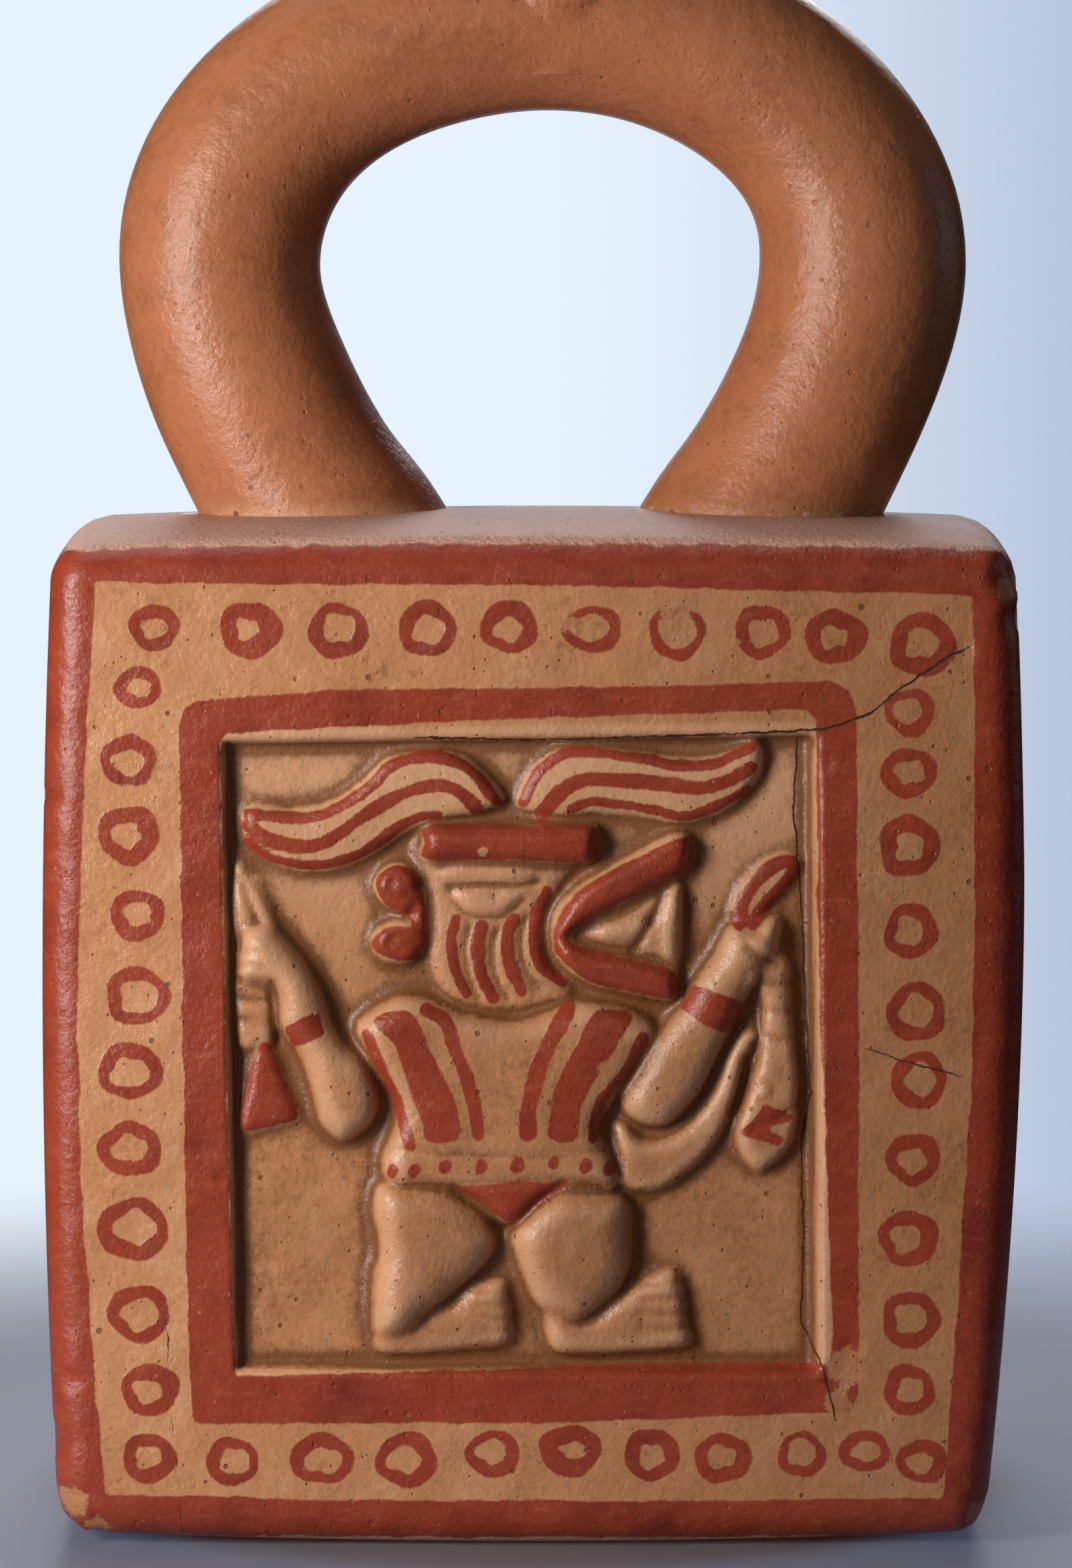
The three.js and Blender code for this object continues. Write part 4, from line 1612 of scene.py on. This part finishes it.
class Graph:
    """A node tree being wired: one method adds any node, and the others are shorthands for it."""

    def __init__(self, tree: bpy.types.NodeTree) -> None:
        """Starts with an empty tree."""
        self.tree = tree
        self.tree.nodes.clear()

    def node(self, kind: str, settings: dict | None = None, inputs: dict | None = None) -> bpy.types.Node:
        """Adds a node.

        Args:
            kind: Blender's name for the kind of node.
            settings: The node's own properties.
            inputs: What feeds each input, by its name or place: a Signal, a socket or a plain value.

        Returns:
            The node.
        """
        made = self.tree.nodes.new(kind)
        for name, value in (settings or {}).items():
            setattr(made, name, value)
        for name, value in (inputs or {}).items():
            if isinstance(value, Signal):
                value = value.socket
            if isinstance(value, bpy.types.NodeSocket):
                self.tree.links.new(value, made.inputs[name])
            else:
                made.inputs[name].default_value = value
        return made

    def mark(self, mark: Mark) -> "Signal":
        """Returns a mark of the mesh as a signal."""
        made = self.node("ShaderNodeAttribute", {"attribute_name": mark.value})
        return Signal(self, made.outputs["Fac"])

    def place(self) -> bpy.types.NodeSocket:
        """Returns the place on the object in metres."""
        return self.node("ShaderNodeTexCoord").outputs["Object"]

    def stretched(
        self, place: bpy.types.NodeSocket, by: Point3, shift: Point3 = (0, 0, 0)
    ) -> bpy.types.NodeSocket:
        """Returns a place stretched along each axis and then shifted."""
        made = self.node("ShaderNodeVectorMath", {"operation": "MULTIPLY_ADD"}, {0: place, 1: by, 2: shift})
        return made.outputs[0]

    def noise(
        self, place: bpy.types.NodeSocket, size: float, detail: float = 2.0, rough: float = 0.5
    ) -> "Signal":
        """Returns cloudy noise.

        Args:
            place: Where to read it, in metres.
            size: The size of its clouds in millimetres.
            detail: How many finer layers it has.
            rough: How strong those are.

        Returns:
            The noise, from about -1 to 1.
        """
        made = self.node(
            "ShaderNodeTexNoise",
            inputs={"Vector": place, "Scale": 1 / (size * MM), "Detail": detail, "Roughness": rough},
        )
        return Signal(self, made.outputs[0]) * 2.6 - 1.3

    def dots(self, place: bpy.types.NodeSocket, spacing: float, radius: float) -> "Signal":
        """Returns scattered round dots of different sizes, 1 in a dot and 0 outside.

        Args:
            place: Where to read them, in metres.
            spacing: How far apart they are in millimetres.
            radius: The radius of the largest.

        Returns:
            The dots.
        """
        made = self.node("ShaderNodeTexVoronoi", inputs={"Vector": place, "Scale": 1 / (spacing * MM)})
        away = Signal(self, made.outputs["Distance"]) * spacing
        parts = self.node("ShaderNodeSeparateColor", inputs={0: made.outputs["Color"]})
        chance = Signal(self, parts.outputs[0])
        return ((chance * chance * chance) * radius - away).ramp(-0.02, 0.10)

    def layer(
        self,
        under: bpy.types.NodeSocket | Colour,
        over: bpy.types.NodeSocket | Colour,
        share: "Signal | float",
    ) -> bpy.types.NodeSocket:
        """Lays a colour over another.

        Args:
            under: The colour below, as a socket or as a colour.
            over: The colour on top.
            share: How much of it covers.

        Returns:
            The socket of the mixed colour.
        """
        below = under if isinstance(under, bpy.types.NodeSocket) else (*under, 1.0)
        above = over if isinstance(over, bpy.types.NodeSocket) else (*over, 1.0)
        made = self.node("ShaderNodeMix", {"data_type": "RGBA"}, {0: share, 6: below, 7: above})
        return made.outputs[2]


class Signal:
    """A number inside a node tree, on which ordinary sums can be written."""

    def __init__(self, graph: Graph, socket: bpy.types.NodeSocket) -> None:
        """Wraps a socket of the graph's tree."""
        self.graph = graph
        self.socket = socket

    def _sum(self, operation: str, *values) -> "Signal":
        """Returns the result of one Math node."""
        made = self.graph.node("ShaderNodeMath", {"operation": operation}, dict(enumerate(values)))
        return Signal(self.graph, made.outputs[0])

    def __add__(self, other: "Signal | float") -> "Signal":
        """Adds."""
        return self._sum("ADD", self, other)

    __radd__ = __add__

    def __sub__(self, other: "Signal | float") -> "Signal":
        """Takes away."""
        return self._sum("SUBTRACT", self, other)

    def __rsub__(self, other: float) -> "Signal":
        """Takes this away from a number."""
        return self._sum("SUBTRACT", other, self)

    def __mul__(self, other: "Signal | float") -> "Signal":
        """Multiplies."""
        return self._sum("MULTIPLY", self, other)

    __rmul__ = __mul__

    def __truediv__(self, other: "Signal | float") -> "Signal":
        """Divides."""
        return self._sum("DIVIDE", self, other)

    def __rtruediv__(self, other: float) -> "Signal":
        """Divides a number by this."""
        return self._sum("DIVIDE", other, self)

    def __abs__(self) -> "Signal":
        """Returns the size without its sign."""
        return self._sum("ABSOLUTE", self)

    def least(self, other: "Signal | float") -> "Signal":
        """Returns the smaller of the two."""
        return self._sum("MINIMUM", self, other)

    def most(self, other: "Signal | float") -> "Signal":
        """Returns the larger of the two."""
        return self._sum("MAXIMUM", self, other)

    def ramp(self, low: float, high: float) -> "Signal":
        """Rises softly, or falls where high is below low.

        Args:
            low: The value that gives 0.
            high: The value that gives 1.

        Returns:
            The value between 0 and 1.
        """
        made = self.graph.node(
            "ShaderNodeMapRange",
            {"interpolation_type": "SMOOTHSTEP"},
            {"Value": self, "From Min": low, "From Max": high},
        )
        return Signal(self.graph, made.outputs["Result"])


# --- Finishes ---


@dataclass(frozen=True)
class Crack:
    """A fine crack that runs mostly upwards or mostly across the front.

    Attributes:
        points: Its points (x, z), in order along it.
        width: Its full width.
        wander: How far it strays from its points.
        upright: True if it runs mostly upwards.
        broken: How much of it is closed up, from 0 to 1.
    """

    points: tuple[Point, ...]
    width: float
    wander: float = 0.25
    upright: bool = True
    broken: float = 0.0

    def cover(self, graph: Graph, place: bpy.types.NodeSocket, jitter: Signal, gaps: Signal) -> Signal:
        """Wires the crack.

        Args:
            graph: The tree.
            place: The place on the object in metres.
            jitter: Fine noise that makes it wander.
            gaps: Coarse noise that closes it up in places.

        Returns:
            1 in the crack and 0 outside it.
        """
        axes = graph.node("ShaderNodeSeparateXYZ", inputs={0: place})
        across, upwards = (Signal(graph, axes.outputs[axis]) / MM for axis in ("X", "Z"))
        along, aside = (upwards, across) if self.upright else (across, upwards)
        stations = sorted((z, x) if self.upright else (x, z) for x, z in self.points)
        low, high = stations[0][0], stations[-1][0]
        values = [value for _, value in stations]
        base, reach = min(values) - 1.0, max(values) - min(values) + 2.0
        curve = graph.node("ShaderNodeFloatCurve", inputs={"Value": (along - low) / (high - low)})
        line = curve.mapping.curves[0]
        while len(line.points) < len(stations):
            line.points.new(0.5, 0.5)
        for dot, (station, value) in zip(line.points, stations):
            dot.location = ((station - low) / (high - low), (value - base) / reach)
            dot.handle_type = "VECTOR"
        curve.mapping.update()
        centre = Signal(graph, curve.outputs["Value"]) * reach + base
        away = abs(aside - centre + jitter * self.wander)
        within = (along - low).ramp(0.0, 1.5) * (high - along).ramp(0.0, 1.5)
        deep = Signal(graph, axes.outputs["Y"]).ramp(-33.0 * MM, -34.0 * MM)
        open_here = (gaps + (1.0 - 2.0 * self.broken)).ramp(-0.35, 0.25)
        return away.ramp(self.width * 0.8, self.width * 0.3) * within * deep * open_here


CRACKS = (
    Crack(
        ((30.6, 95.6), (30.1, 87.4), (30.6, 80.4), (31.3, 70.9), (31.5, 63.8), (31.9, 58.4), (32.1, 53.4),
         (31.2, 48.1), (31.3, 42.4), (31.5, 34.8), (31.2, 26.6), (32.5, 23.8), (33.8, 21.3), (35.2, 15.0)),
        0.17, 0.28,
    ),
    Crack(
        ((-14.0, 95.1), (0.0, 94.7), (16.0, 95.2), (30.0, 95.8), (34.2, 96.2), (38.8, 97.8),
         (42.4, 100.8), (47.9, 104.4), (50.8, 105.6)),
        0.22, 0.3, upright=False, broken=0.18,
    ),
    Crack(((-42.6, 28.0), (-42.3, 20.2), (-41.6, 10.0), (-41.0, 1.0)), 0.12, 0.3, broken=0.6),
    Crack(((38.0, 59.2), (43.0, 57.6), (50.0, 55.6)), 0.12, 0.3, upright=False, broken=0.3),
)


@dataclass(frozen=True)
class SlipPaintedClay:
    """Burnished buff clay with dark red slip, soiled and worn, with painted shade and a painted sheen laid
    into its colour.

    Attributes:
        buff: The bare clay's warm buff.
        pale: Where it is rubbed or pale.
        soil_and_shade: The brown of the dirt that sits in hollows, also laid on as painted shade there and
            towards the right.
        red: The red slip.
        deep_red: Where the slip lies thick.
        faded_red: Where it is thin.
        orange: The handle's orange brown.
        dusky: The handle's darker clouds.
        bare_clay_and_sheen: The unpainted top and underside, a pale pink that is partly their own colour
            and partly a painted sheen.
        crack: The inside of a crack.
    """

    buff: Colour = (0.50, 0.222, 0.098)
    pale: Colour = (0.64, 0.370, 0.215)
    soil_and_shade: Colour = (0.150, 0.050, 0.012)
    red: Colour = (0.280, 0.041, 0.017)
    deep_red: Colour = (0.17, 0.024, 0.012)
    faded_red: Colour = (0.38, 0.095, 0.045)
    orange: Colour = (0.43, 0.152, 0.066)
    dusky: Colour = (0.18, 0.055, 0.022)
    bare_clay_and_sheen: Colour = (0.66, 0.370, 0.290)
    crack: Colour = (0.070, 0.030, 0.012)

    def material(self) -> bpy.types.Material:
        """Returns the finish as a material."""
        material = bpy.data.materials.new("slip painted clay")
        material.use_nodes = True
        graph = Graph(material.node_tree)
        place = graph.place()
        slip = self._slip(graph, place)
        bare = (graph.mark(Mark.BARE) + graph.noise(place, 2.4, 3.0) * 0.45).ramp(-0.15, 0.25)
        slip = slip * (1.0 - bare)
        handle = graph.mark(Mark.HANDLE)
        cracks = self._cracks(graph, place)
        specks = graph.dots(place, 2.1, 0.42) * 0.8
        elsewhere = graph.stretched(place, (1, 1, 1), (0.3, 0.1, 0.2))
        specks = specks.most(graph.dots(elsewhere, 0.95, 0.22) * 0.7)

        clay = self._clay(graph, place, handle)
        # painted sheen: the unpainted top and underside are laid pale pink, which stands in partly for the
        # sheen on the top
        colour = graph.layer(clay, self.bare_clay_and_sheen, bare * 0.85)
        red = graph.layer(self.red, self.deep_red, graph.noise(place, 7.0, 3.0).ramp(-0.2, 1.1))
        streaks = graph.noise(graph.stretched(place, (1, 1, 3.0)), 3.2, 3.0, 0.6)
        red = graph.layer(red, self.faded_red, streaks.ramp(-0.1, 1.3) * 0.75)
        colour = graph.layer(colour, red, slip)
        colour = graph.layer(colour, self.soil_and_shade, specks * (1.0 - slip * 0.75) * (1.0 - handle * 0.7))
        colour = graph.layer(colour, self.crack, cracks)

        rough = 0.31 + graph.noise(place, 5.0, 3.0) * 0.06 + bare * 0.25 + specks * 0.15
        shader = graph.node(
            "ShaderNodeBsdfPrincipled",
            inputs={
                "Base Color": colour,
                "Roughness": rough,
                "Normal": self._grain(graph, place, slip, bare, cracks, specks),
                "IOR": 1.42,
            },
        )
        graph.node("ShaderNodeOutputMaterial", inputs={"Surface": shader.outputs[0]})
        return material

    def _slip(self, graph: Graph, place: bpy.types.NodeSocket) -> Signal:
        """Lays the red slip within its wavering edges.

        Args:
            graph: The tree.
            place: The place on the object in metres.

        Returns:
            1 where the slip lies and 0 elsewhere.
        """
        edge = graph.mark(Mark.BAND).least(graph.mark(Mark.FRAME)).least(graph.mark(Mark.FIGURE))
        edge = edge.least(graph.mark(Mark.RING_OUT).most(graph.mark(Mark.RING_IN)))
        wobble = graph.noise(place, 3.6, 3.0) * 0.30 + graph.noise(place, 0.8, 3.0, 0.7) * 0.16
        painted = (edge + wobble).ramp(0.14, -0.14)
        flaked = (graph.mark(Mark.LOSS) + graph.noise(place, 1.0, 5.0, 0.8) * 0.95).ramp(0.50, 0.72)
        pinholes = graph.dots(graph.stretched(place, (1, 1, 1), (0.7, 0.2, 0.5)), 1.7, 0.24)
        return painted * (1.0 - flaked * 0.8) * (1.0 - pinholes * 0.5)

    def _clay(self, graph: Graph, place: bpy.types.NodeSocket, handle: Signal) -> bpy.types.NodeSocket:
        """Colours the clay itself, with its dirt and wear, and with painted shade in the hollows and
        towards the right.

        Args:
            graph: The tree.
            place: The place on the object in metres.
            handle: 1 on the handle and 0 on the box.

        Returns:
            The socket of the colour.
        """
        clouds = graph.noise(place, 9.0, 5.0, 0.65) * 1.6
        mottle = graph.noise(place, 1.1, 5.0, 0.75) * 2.0
        clay = graph.layer(self.buff, self.pale, (clouds + mottle * 0.8).ramp(-0.1, 1.3) * 0.50)
        clay = graph.layer(clay, self.soil_and_shade, (mottle - clouds * 0.6).ramp(0.0, 1.4) * 0.46)
        axes = graph.node("ShaderNodeSeparateXYZ", inputs={0: place}).outputs
        # painted shade: the clay is laid browner towards the right, where the light from the left falls off
        right_side_painted_shade = (Signal(graph, axes["X"]) / MM + clouds * 12.0).ramp(-30.0, 60.0) * 0.30
        clay = graph.layer(clay, self.soil_and_shade, right_side_painted_shade)
        hollow, worn, panel = (graph.mark(mark) for mark in (Mark.HOLLOW, Mark.WORN, Mark.PANEL))
        # the panel's floor is laid darker towards its foot and paler towards its top
        low_down = 1.0 - Signal(graph, axes["Z"]).ramp(0.060, 0.098)
        panel_foot_darkening = (graph.noise(place, 5.0, 5.0, 0.7) + low_down * 0.5 + mottle * 0.4).ramp(-0.3, 1.5)
        clay = graph.layer(clay, self.soil_and_shade, panel * panel_foot_darkening * low_down.most(0.25) * 0.44)
        clay = graph.layer(clay, self.pale, panel * (1.0 - low_down) * 0.6)
        # dirt in the hollows, laid dark enough to stand also for the shade that falls in them: partly
        # painted shade
        clay = graph.layer(clay, self.soil_and_shade, (hollow + mottle * 0.16).ramp(0.08, 0.85) * 0.86)
        clay = graph.layer(clay, self.pale, (worn + mottle * 0.16).ramp(0.12, 0.9) * 0.50)
        brown = graph.layer(self.orange, self.dusky, (clouds * 0.7 + mottle * 0.6).ramp(-0.5, 1.5) * 0.66)
        return graph.layer(clay, brown, handle)

    def _cracks(self, graph: Graph, place: bpy.types.NodeSocket) -> Signal:
        """Lays all the cracks.

        Args:
            graph: The tree.
            place: The place on the object in metres.

        Returns:
            1 inside any of them and 0 elsewhere.
        """
        jitter = graph.noise(place, 1.6, 3.0, 0.6)
        gaps = graph.noise(place, 2.6, 1.0)
        covers = [crack.cover(graph, place, jitter, gaps) for crack in CRACKS]
        found = covers[0]
        for cover in covers[1:]:
            found = found.most(cover)
        return found

    def _grain(
        self,
        graph: Graph,
        place: bpy.types.NodeSocket,
        slip: Signal,
        bare: Signal,
        cracks: Signal,
        specks: Signal,
    ) -> bpy.types.NodeSocket:
        """Gives the skin its fine grain, which the cracks and pits cut into.

        Args:
            graph: The tree.
            place: The place on the object in metres.
            slip: Where the slip lies.
            bare: Where the clay is unpainted and gritty.
            cracks: Where the cracks are.
            specks: Where the pits are.

        Returns:
            The socket of the normal.
        """
        fine = graph.noise(place, 0.7, 4.0, 0.65)
        slow = graph.noise(place, 3.0, 3.0, 0.5)
        grain = fine * 0.050 + slow * 0.09 + fine * bare * 0.12 + slip * 0.03
        height = grain - cracks * 0.3 - specks * 0.12
        bump = graph.node(
            "ShaderNodeBump", inputs={"Strength": 1.0, "Distance": MM, "Height": height}
        )
        return bump.outputs["Normal"]


@dataclass(frozen=True)
class TableTop:
    """A plain grey table that fades into the pale surroundings, with painted light on it and a painted
    shadow round the bottle's foot.

    Attributes:
        grey: Its colour.
        glow: Painted light: an even glow that stands in for the light it gets from all round.
        under: A painted shadow: the brownish dark close under the bottle.
        close: How far the painted shadow reaches, in metres.
        fade: How far from the middle it starts to fade and has gone, in metres.
    """

    grey: Colour = (0.140, 0.145, 0.175)
    glow: Colour = (0.035, 0.045, 0.080)
    under: Colour = (0.014, 0.006, 0.003)
    close: Point = (0.043, 0.053)
    fade: Point = (0.10, 0.26)

    def material(self) -> bpy.types.Material:
        """Returns the finish as a material."""
        material = bpy.data.materials.new("table top")
        material.use_nodes = True
        graph = Graph(material.node_tree)
        place = graph.place()
        away = self._length(graph, place)
        painted_shadow_distance = self._length(graph, graph.stretched(place, (0.85, 1.0, 1.0)))
        top = graph.node(
            "ShaderNodeBsdfPrincipled",
            inputs={
                "Base Color": (*self.grey, 1.0),
                "Roughness": 0.55,
                # painted light and painted shadow: the table glows evenly, but goes dark close round the
                # bottle's foot
                "Emission Color": graph.layer(self.under, self.glow, painted_shadow_distance.ramp(*self.close)),
                "Emission Strength": 1.0,
            },
        )
        clear = graph.node("ShaderNodeBsdfTransparent")
        gone = away.ramp(*self.fade)
        mixed = graph.node("ShaderNodeMixShader", inputs={0: gone, 1: top.outputs[0], 2: clear.outputs[0]})
        graph.node("ShaderNodeOutputMaterial", inputs={"Surface": mixed.outputs[0]})
        return material

    @staticmethod
    def _length(graph: Graph, place: bpy.types.NodeSocket) -> Signal:
        """Returns how far a place is from the middle, in metres."""
        made = graph.node("ShaderNodeVectorMath", {"operation": "LENGTH"}, {0: place})
        return Signal(graph, made.outputs["Value"])


# --- The bottle ---


class Join(Enum):
    """How one solid works on another."""

    ADD = "UNION"
    CUT = "DIFFERENCE"


@dataclass
class StirrupBottle:
    """The whole bottle: box, stirrup and spout in one hollow piece of clay.

    Attributes:
        finish: What it is made of.
        mould: The shape of the box.
        stirrup: The handle.
        spout: The spout.
        crease_above: The height above which sharp creases are kept.
        crease_angle: The angle in degrees from which a crease is sharp.
    """

    finish: SlipPaintedClay = field(default_factory=SlipPaintedClay)
    mould: Mould = field(default_factory=Mould)
    stirrup: Stirrup = field(default_factory=Stirrup)
    spout: Spout = field(default_factory=Spout)
    crease_above: float = 117.0
    crease_angle: float = 32.0

    def build(self) -> bpy.types.Object:
        """Builds the bottle and dresses it.

        Returns:
            The finished object.
        """
        clay = self.finish.material()
        panel = CarvedPanel()
        box = ClayBox(self.mould, panel)
        bottle = self._object("bottle", box.outside(), clay)
        sweep = TubeSweep()
        line = self.stirrup.line()
        bore = np.full(len(line), self.stirrup.bore)
        sides = self.stirrup.sides
        tools = [
            (Join.ADD, sweep.sweep("stirrup", line, self.stirrup.radii(line), sides, clay)),
            (Join.ADD, sweep.sweep("spout", *self.spout.outside(), self.spout.sides, clay)),
            (Join.CUT, self._object("hollow", box.inside(), clay)),
            (Join.CUT, sweep.sweep("stirrup bore", line[::3], bore[::3], sides // 2, clay)),
            (Join.CUT, sweep.sweep("spout bore", *self.spout.inside(), sides // 2, clay)),
        ]
        for join, tool in tools:
            modifier = bottle.modifiers.new(join.value.lower(), "BOOLEAN")
            modifier.operation = join.value
            modifier.solver = "MANIFOLD"
            modifier.object = tool
        baked(bottle)
        for _, tool in tools:
            bpy.data.objects.remove(tool)
        self._finish(bottle, clay, Markings(self.mould, panel, self.stirrup))
        return bottle

    def _object(self, name: str, mesh: bpy.types.Mesh, clay: bpy.types.Material) -> bpy.types.Object:
        """Puts a mesh in the scene.

        Args:
            name: What to call it.
            mesh: The mesh.
            clay: The material it wears.

        Returns:
            The object.
        """
        mesh.materials.append(clay)
        thing = bpy.data.objects.new(name, mesh)
        bpy.context.scene.collection.objects.link(thing)
        return thing

    def _finish(self, bottle: bpy.types.Object, clay: bpy.types.Material, markings: Markings) -> None:
        """Writes the marks, smooths the shading and keeps the creases round the handle.

        Args:
            bottle: The bottle.
            clay: The material it wears.
            markings: What works out the marks.
        """
        mesh = bottle.data
        mesh.materials.clear()
        mesh.materials.append(clay)
        mesh.polygons.foreach_set("material_index", np.zeros(len(mesh.polygons), np.int32))
        points = np.zeros(len(mesh.vertices) * 3, np.float32)
        mesh.vertices.foreach_get("co", points)
        points = points.reshape(-1, 3).astype(float) / MM
        for mark, values in markings.all(points).items():
            layer = mesh.attributes.new(mark.value, "FLOAT", "POINT")
            layer.data.foreach_set("value", values.astype(np.float32))
        mesh.polygons.foreach_set("use_smooth", np.ones(len(mesh.polygons), bool))
        mesh.set_sharp_from_angle(angle=math.radians(self.crease_angle))
        ends = np.zeros(len(mesh.edges) * 2, np.int32)
        mesh.edges.foreach_get("vertices", ends)
        low_edge = points[ends.reshape(-1, 2), 2].min(axis=1) < self.crease_above
        sharp = mesh.attributes["sharp_edge"]
        flags = np.zeros(len(mesh.edges), bool)
        sharp.data.foreach_get("value", flags)
        sharp.data.foreach_set("value", flags & ~low_edge)
        mesh.update()


# --- The stage ---


@dataclass(frozen=True)
class Softbox:
    """A soft lamp that points at the bottle.

    Attributes:
        name: What to call it.
        place: Where it stands in metres.
        aim: What it points at.
        size: Its width and height in metres.
        power: Its power in watts.
        colour: The colour of its light.
    """

    name: str
    place: Point3
    aim: Point3
    size: Point
    power: float
    colour: Colour

    def build(self) -> None:
        """Puts the lamp on the stage, where it isn't seen itself."""
        light = bpy.data.lights.new(self.name, "AREA")
        light.shape = "RECTANGLE"
        light.size, light.size_y = self.size
        light.energy = self.power
        light.color = self.colour
        lamp = bpy.data.objects.new(self.name, light)
        bpy.context.scene.collection.objects.link(lamp)
        lamp.location = self.place
        towards = Vector(self.aim) - Vector(self.place)
        lamp.rotation_euler = towards.to_track_quat("-Z", "Y").to_euler()
        lamp.visible_camera = False


@dataclass(frozen=True)
class Surroundings:
    """The pale, slightly blue light all round, which is darker to the right.

    Attributes:
        pale: The colour behind the bottle.
        dusk: The colour to the right.
        ambient: The weak light that it throws on things.
    """

    pale: Colour = (0.80, 0.90, 1.0)
    dusk: Colour = (0.42, 0.50, 0.68)
    ambient: Colour = (0.012, 0.012, 0.014)

    def build(self) -> None:
        """Makes the scene's world."""
        world = bpy.data.worlds.new("surroundings")
        bpy.context.scene.world = world
        world.use_nodes = True
        graph = Graph(world.node_tree)
        way = graph.node("ShaderNodeTexCoord").outputs["Generated"]
        axes = graph.node("ShaderNodeSeparateXYZ", inputs={0: way}).outputs
        sky = graph.layer(self.pale, self.dusk, Signal(graph, axes["X"]).ramp(-0.01, 0.13))
        ray = graph.node("ShaderNodeLightPath").outputs
        mirrored = Signal(graph, ray["Is Glossy Ray"]) * Signal(graph, axes["Y"]).ramp(0.93, 0.985)
        seen = Signal(graph, ray["Is Camera Ray"]).most(mirrored)
        colour = graph.layer(self.ambient, sky, seen)
        glow = graph.node("ShaderNodeBackground", inputs={"Color": colour, "Strength": 1.0})
        graph.node("ShaderNodeOutputWorld", inputs={"Surface": glow.outputs[0]})


@dataclass(frozen=True)
class Viewpoint:
    """Where the camera stands.

    Attributes:
        place: Its place in metres.
        pitch: How far it looks down, in degrees.
        lens: Its focal length in millimetres.
    """

    place: Point3 = (0.00027, -0.6885, 0.146)
    pitch: float = 4.95
    lens: float = 130.04

    def build(self) -> None:
        """Puts the camera on the stage and makes it the scene's own."""
        data = bpy.data.cameras.new("camera")
        data.lens = self.lens
        camera = bpy.data.objects.new("camera", data)
        bpy.context.scene.collection.objects.link(camera)
        camera.location = self.place
        camera.rotation_euler = (math.radians(90 - self.pitch), 0.0, 0.0)
        bpy.context.scene.camera = camera


@dataclass(frozen=True)
class Stage:
    """The table, the lamps, the surroundings and the camera.

    Attributes:
        table: The table's finish.
        table_radius: The table's radius in metres.
        lamps: The lamps.
        surroundings: What lies all round.
        viewpoint: Where the camera stands.
    """

    table: TableTop = field(default_factory=TableTop)
    table_radius: float = 0.3
    lamps: tuple[Softbox, ...] = (
        Softbox("key", (-0.27, -0.26, 0.15), (0.0, -0.02, 0.09), (0.10, 0.20), 1.62, (1.0, 0.97, 0.93)),
        Softbox("fill", (0.10, -1.2, 0.55), (0.0, 0.0, 0.08), (0.9, 0.5), 1.15, (1.0, 0.89, 0.76)),
        Softbox("top", (-0.1, 0.15, 0.9), (0.0, 0.0, 0.1), (0.5, 0.5), 2.0, (0.92, 0.95, 1.0)),
        Softbox("back", (0.05, 0.85, 0.50), (0.0, 0.0, 0.12), (0.6, 0.16), 2.6, (0.95, 0.96, 1.0)),
        Softbox("right", (1.2, 0.35, 0.35), (0.0, 0.0, 0.1), (0.5, 0.5), 0.5, (0.95, 0.96, 1.0)),
    )
    surroundings: Surroundings = field(default_factory=Surroundings)
    viewpoint: Viewpoint = field(default_factory=Viewpoint)

    def build(self) -> None:
        """Builds everything round the bottle."""
        self.surroundings.build()
        self._table()
        for lamp in self.lamps:
            lamp.build()
        self.viewpoint.build()
        bpy.context.scene.view_settings.view_transform = "Standard"

    def _table(self) -> None:
        """Lays the round table top under the bottle."""
        mesh = bpy.data.meshes.new("table")
        disc = bmesh.new()
        bmesh.ops.create_circle(disc, cap_ends=True, radius=self.table_radius, segments=96)
        disc.to_mesh(mesh)
        disc.free()
        mesh.materials.append(self.table.material())
        table = bpy.data.objects.new("table", mesh)
        bpy.context.scene.collection.objects.link(table)


def main() -> None:
    """Builds the bottle on its stage."""
    logging.basicConfig(level=logging.INFO, format="%(name)s: %(message)s")
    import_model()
    bottle = StirrupBottle().build()
    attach(bottle, BODY)
    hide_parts(NODE)
    triangles = sum(len(face.vertices) - 2 for face in bottle.data.polygons)
    LOG.info("%s: %d triangles, rides on %s, stands for %s", bottle.name, triangles, BODY, NODE)
    Stage().build()


if __name__ == "__main__":
    main()
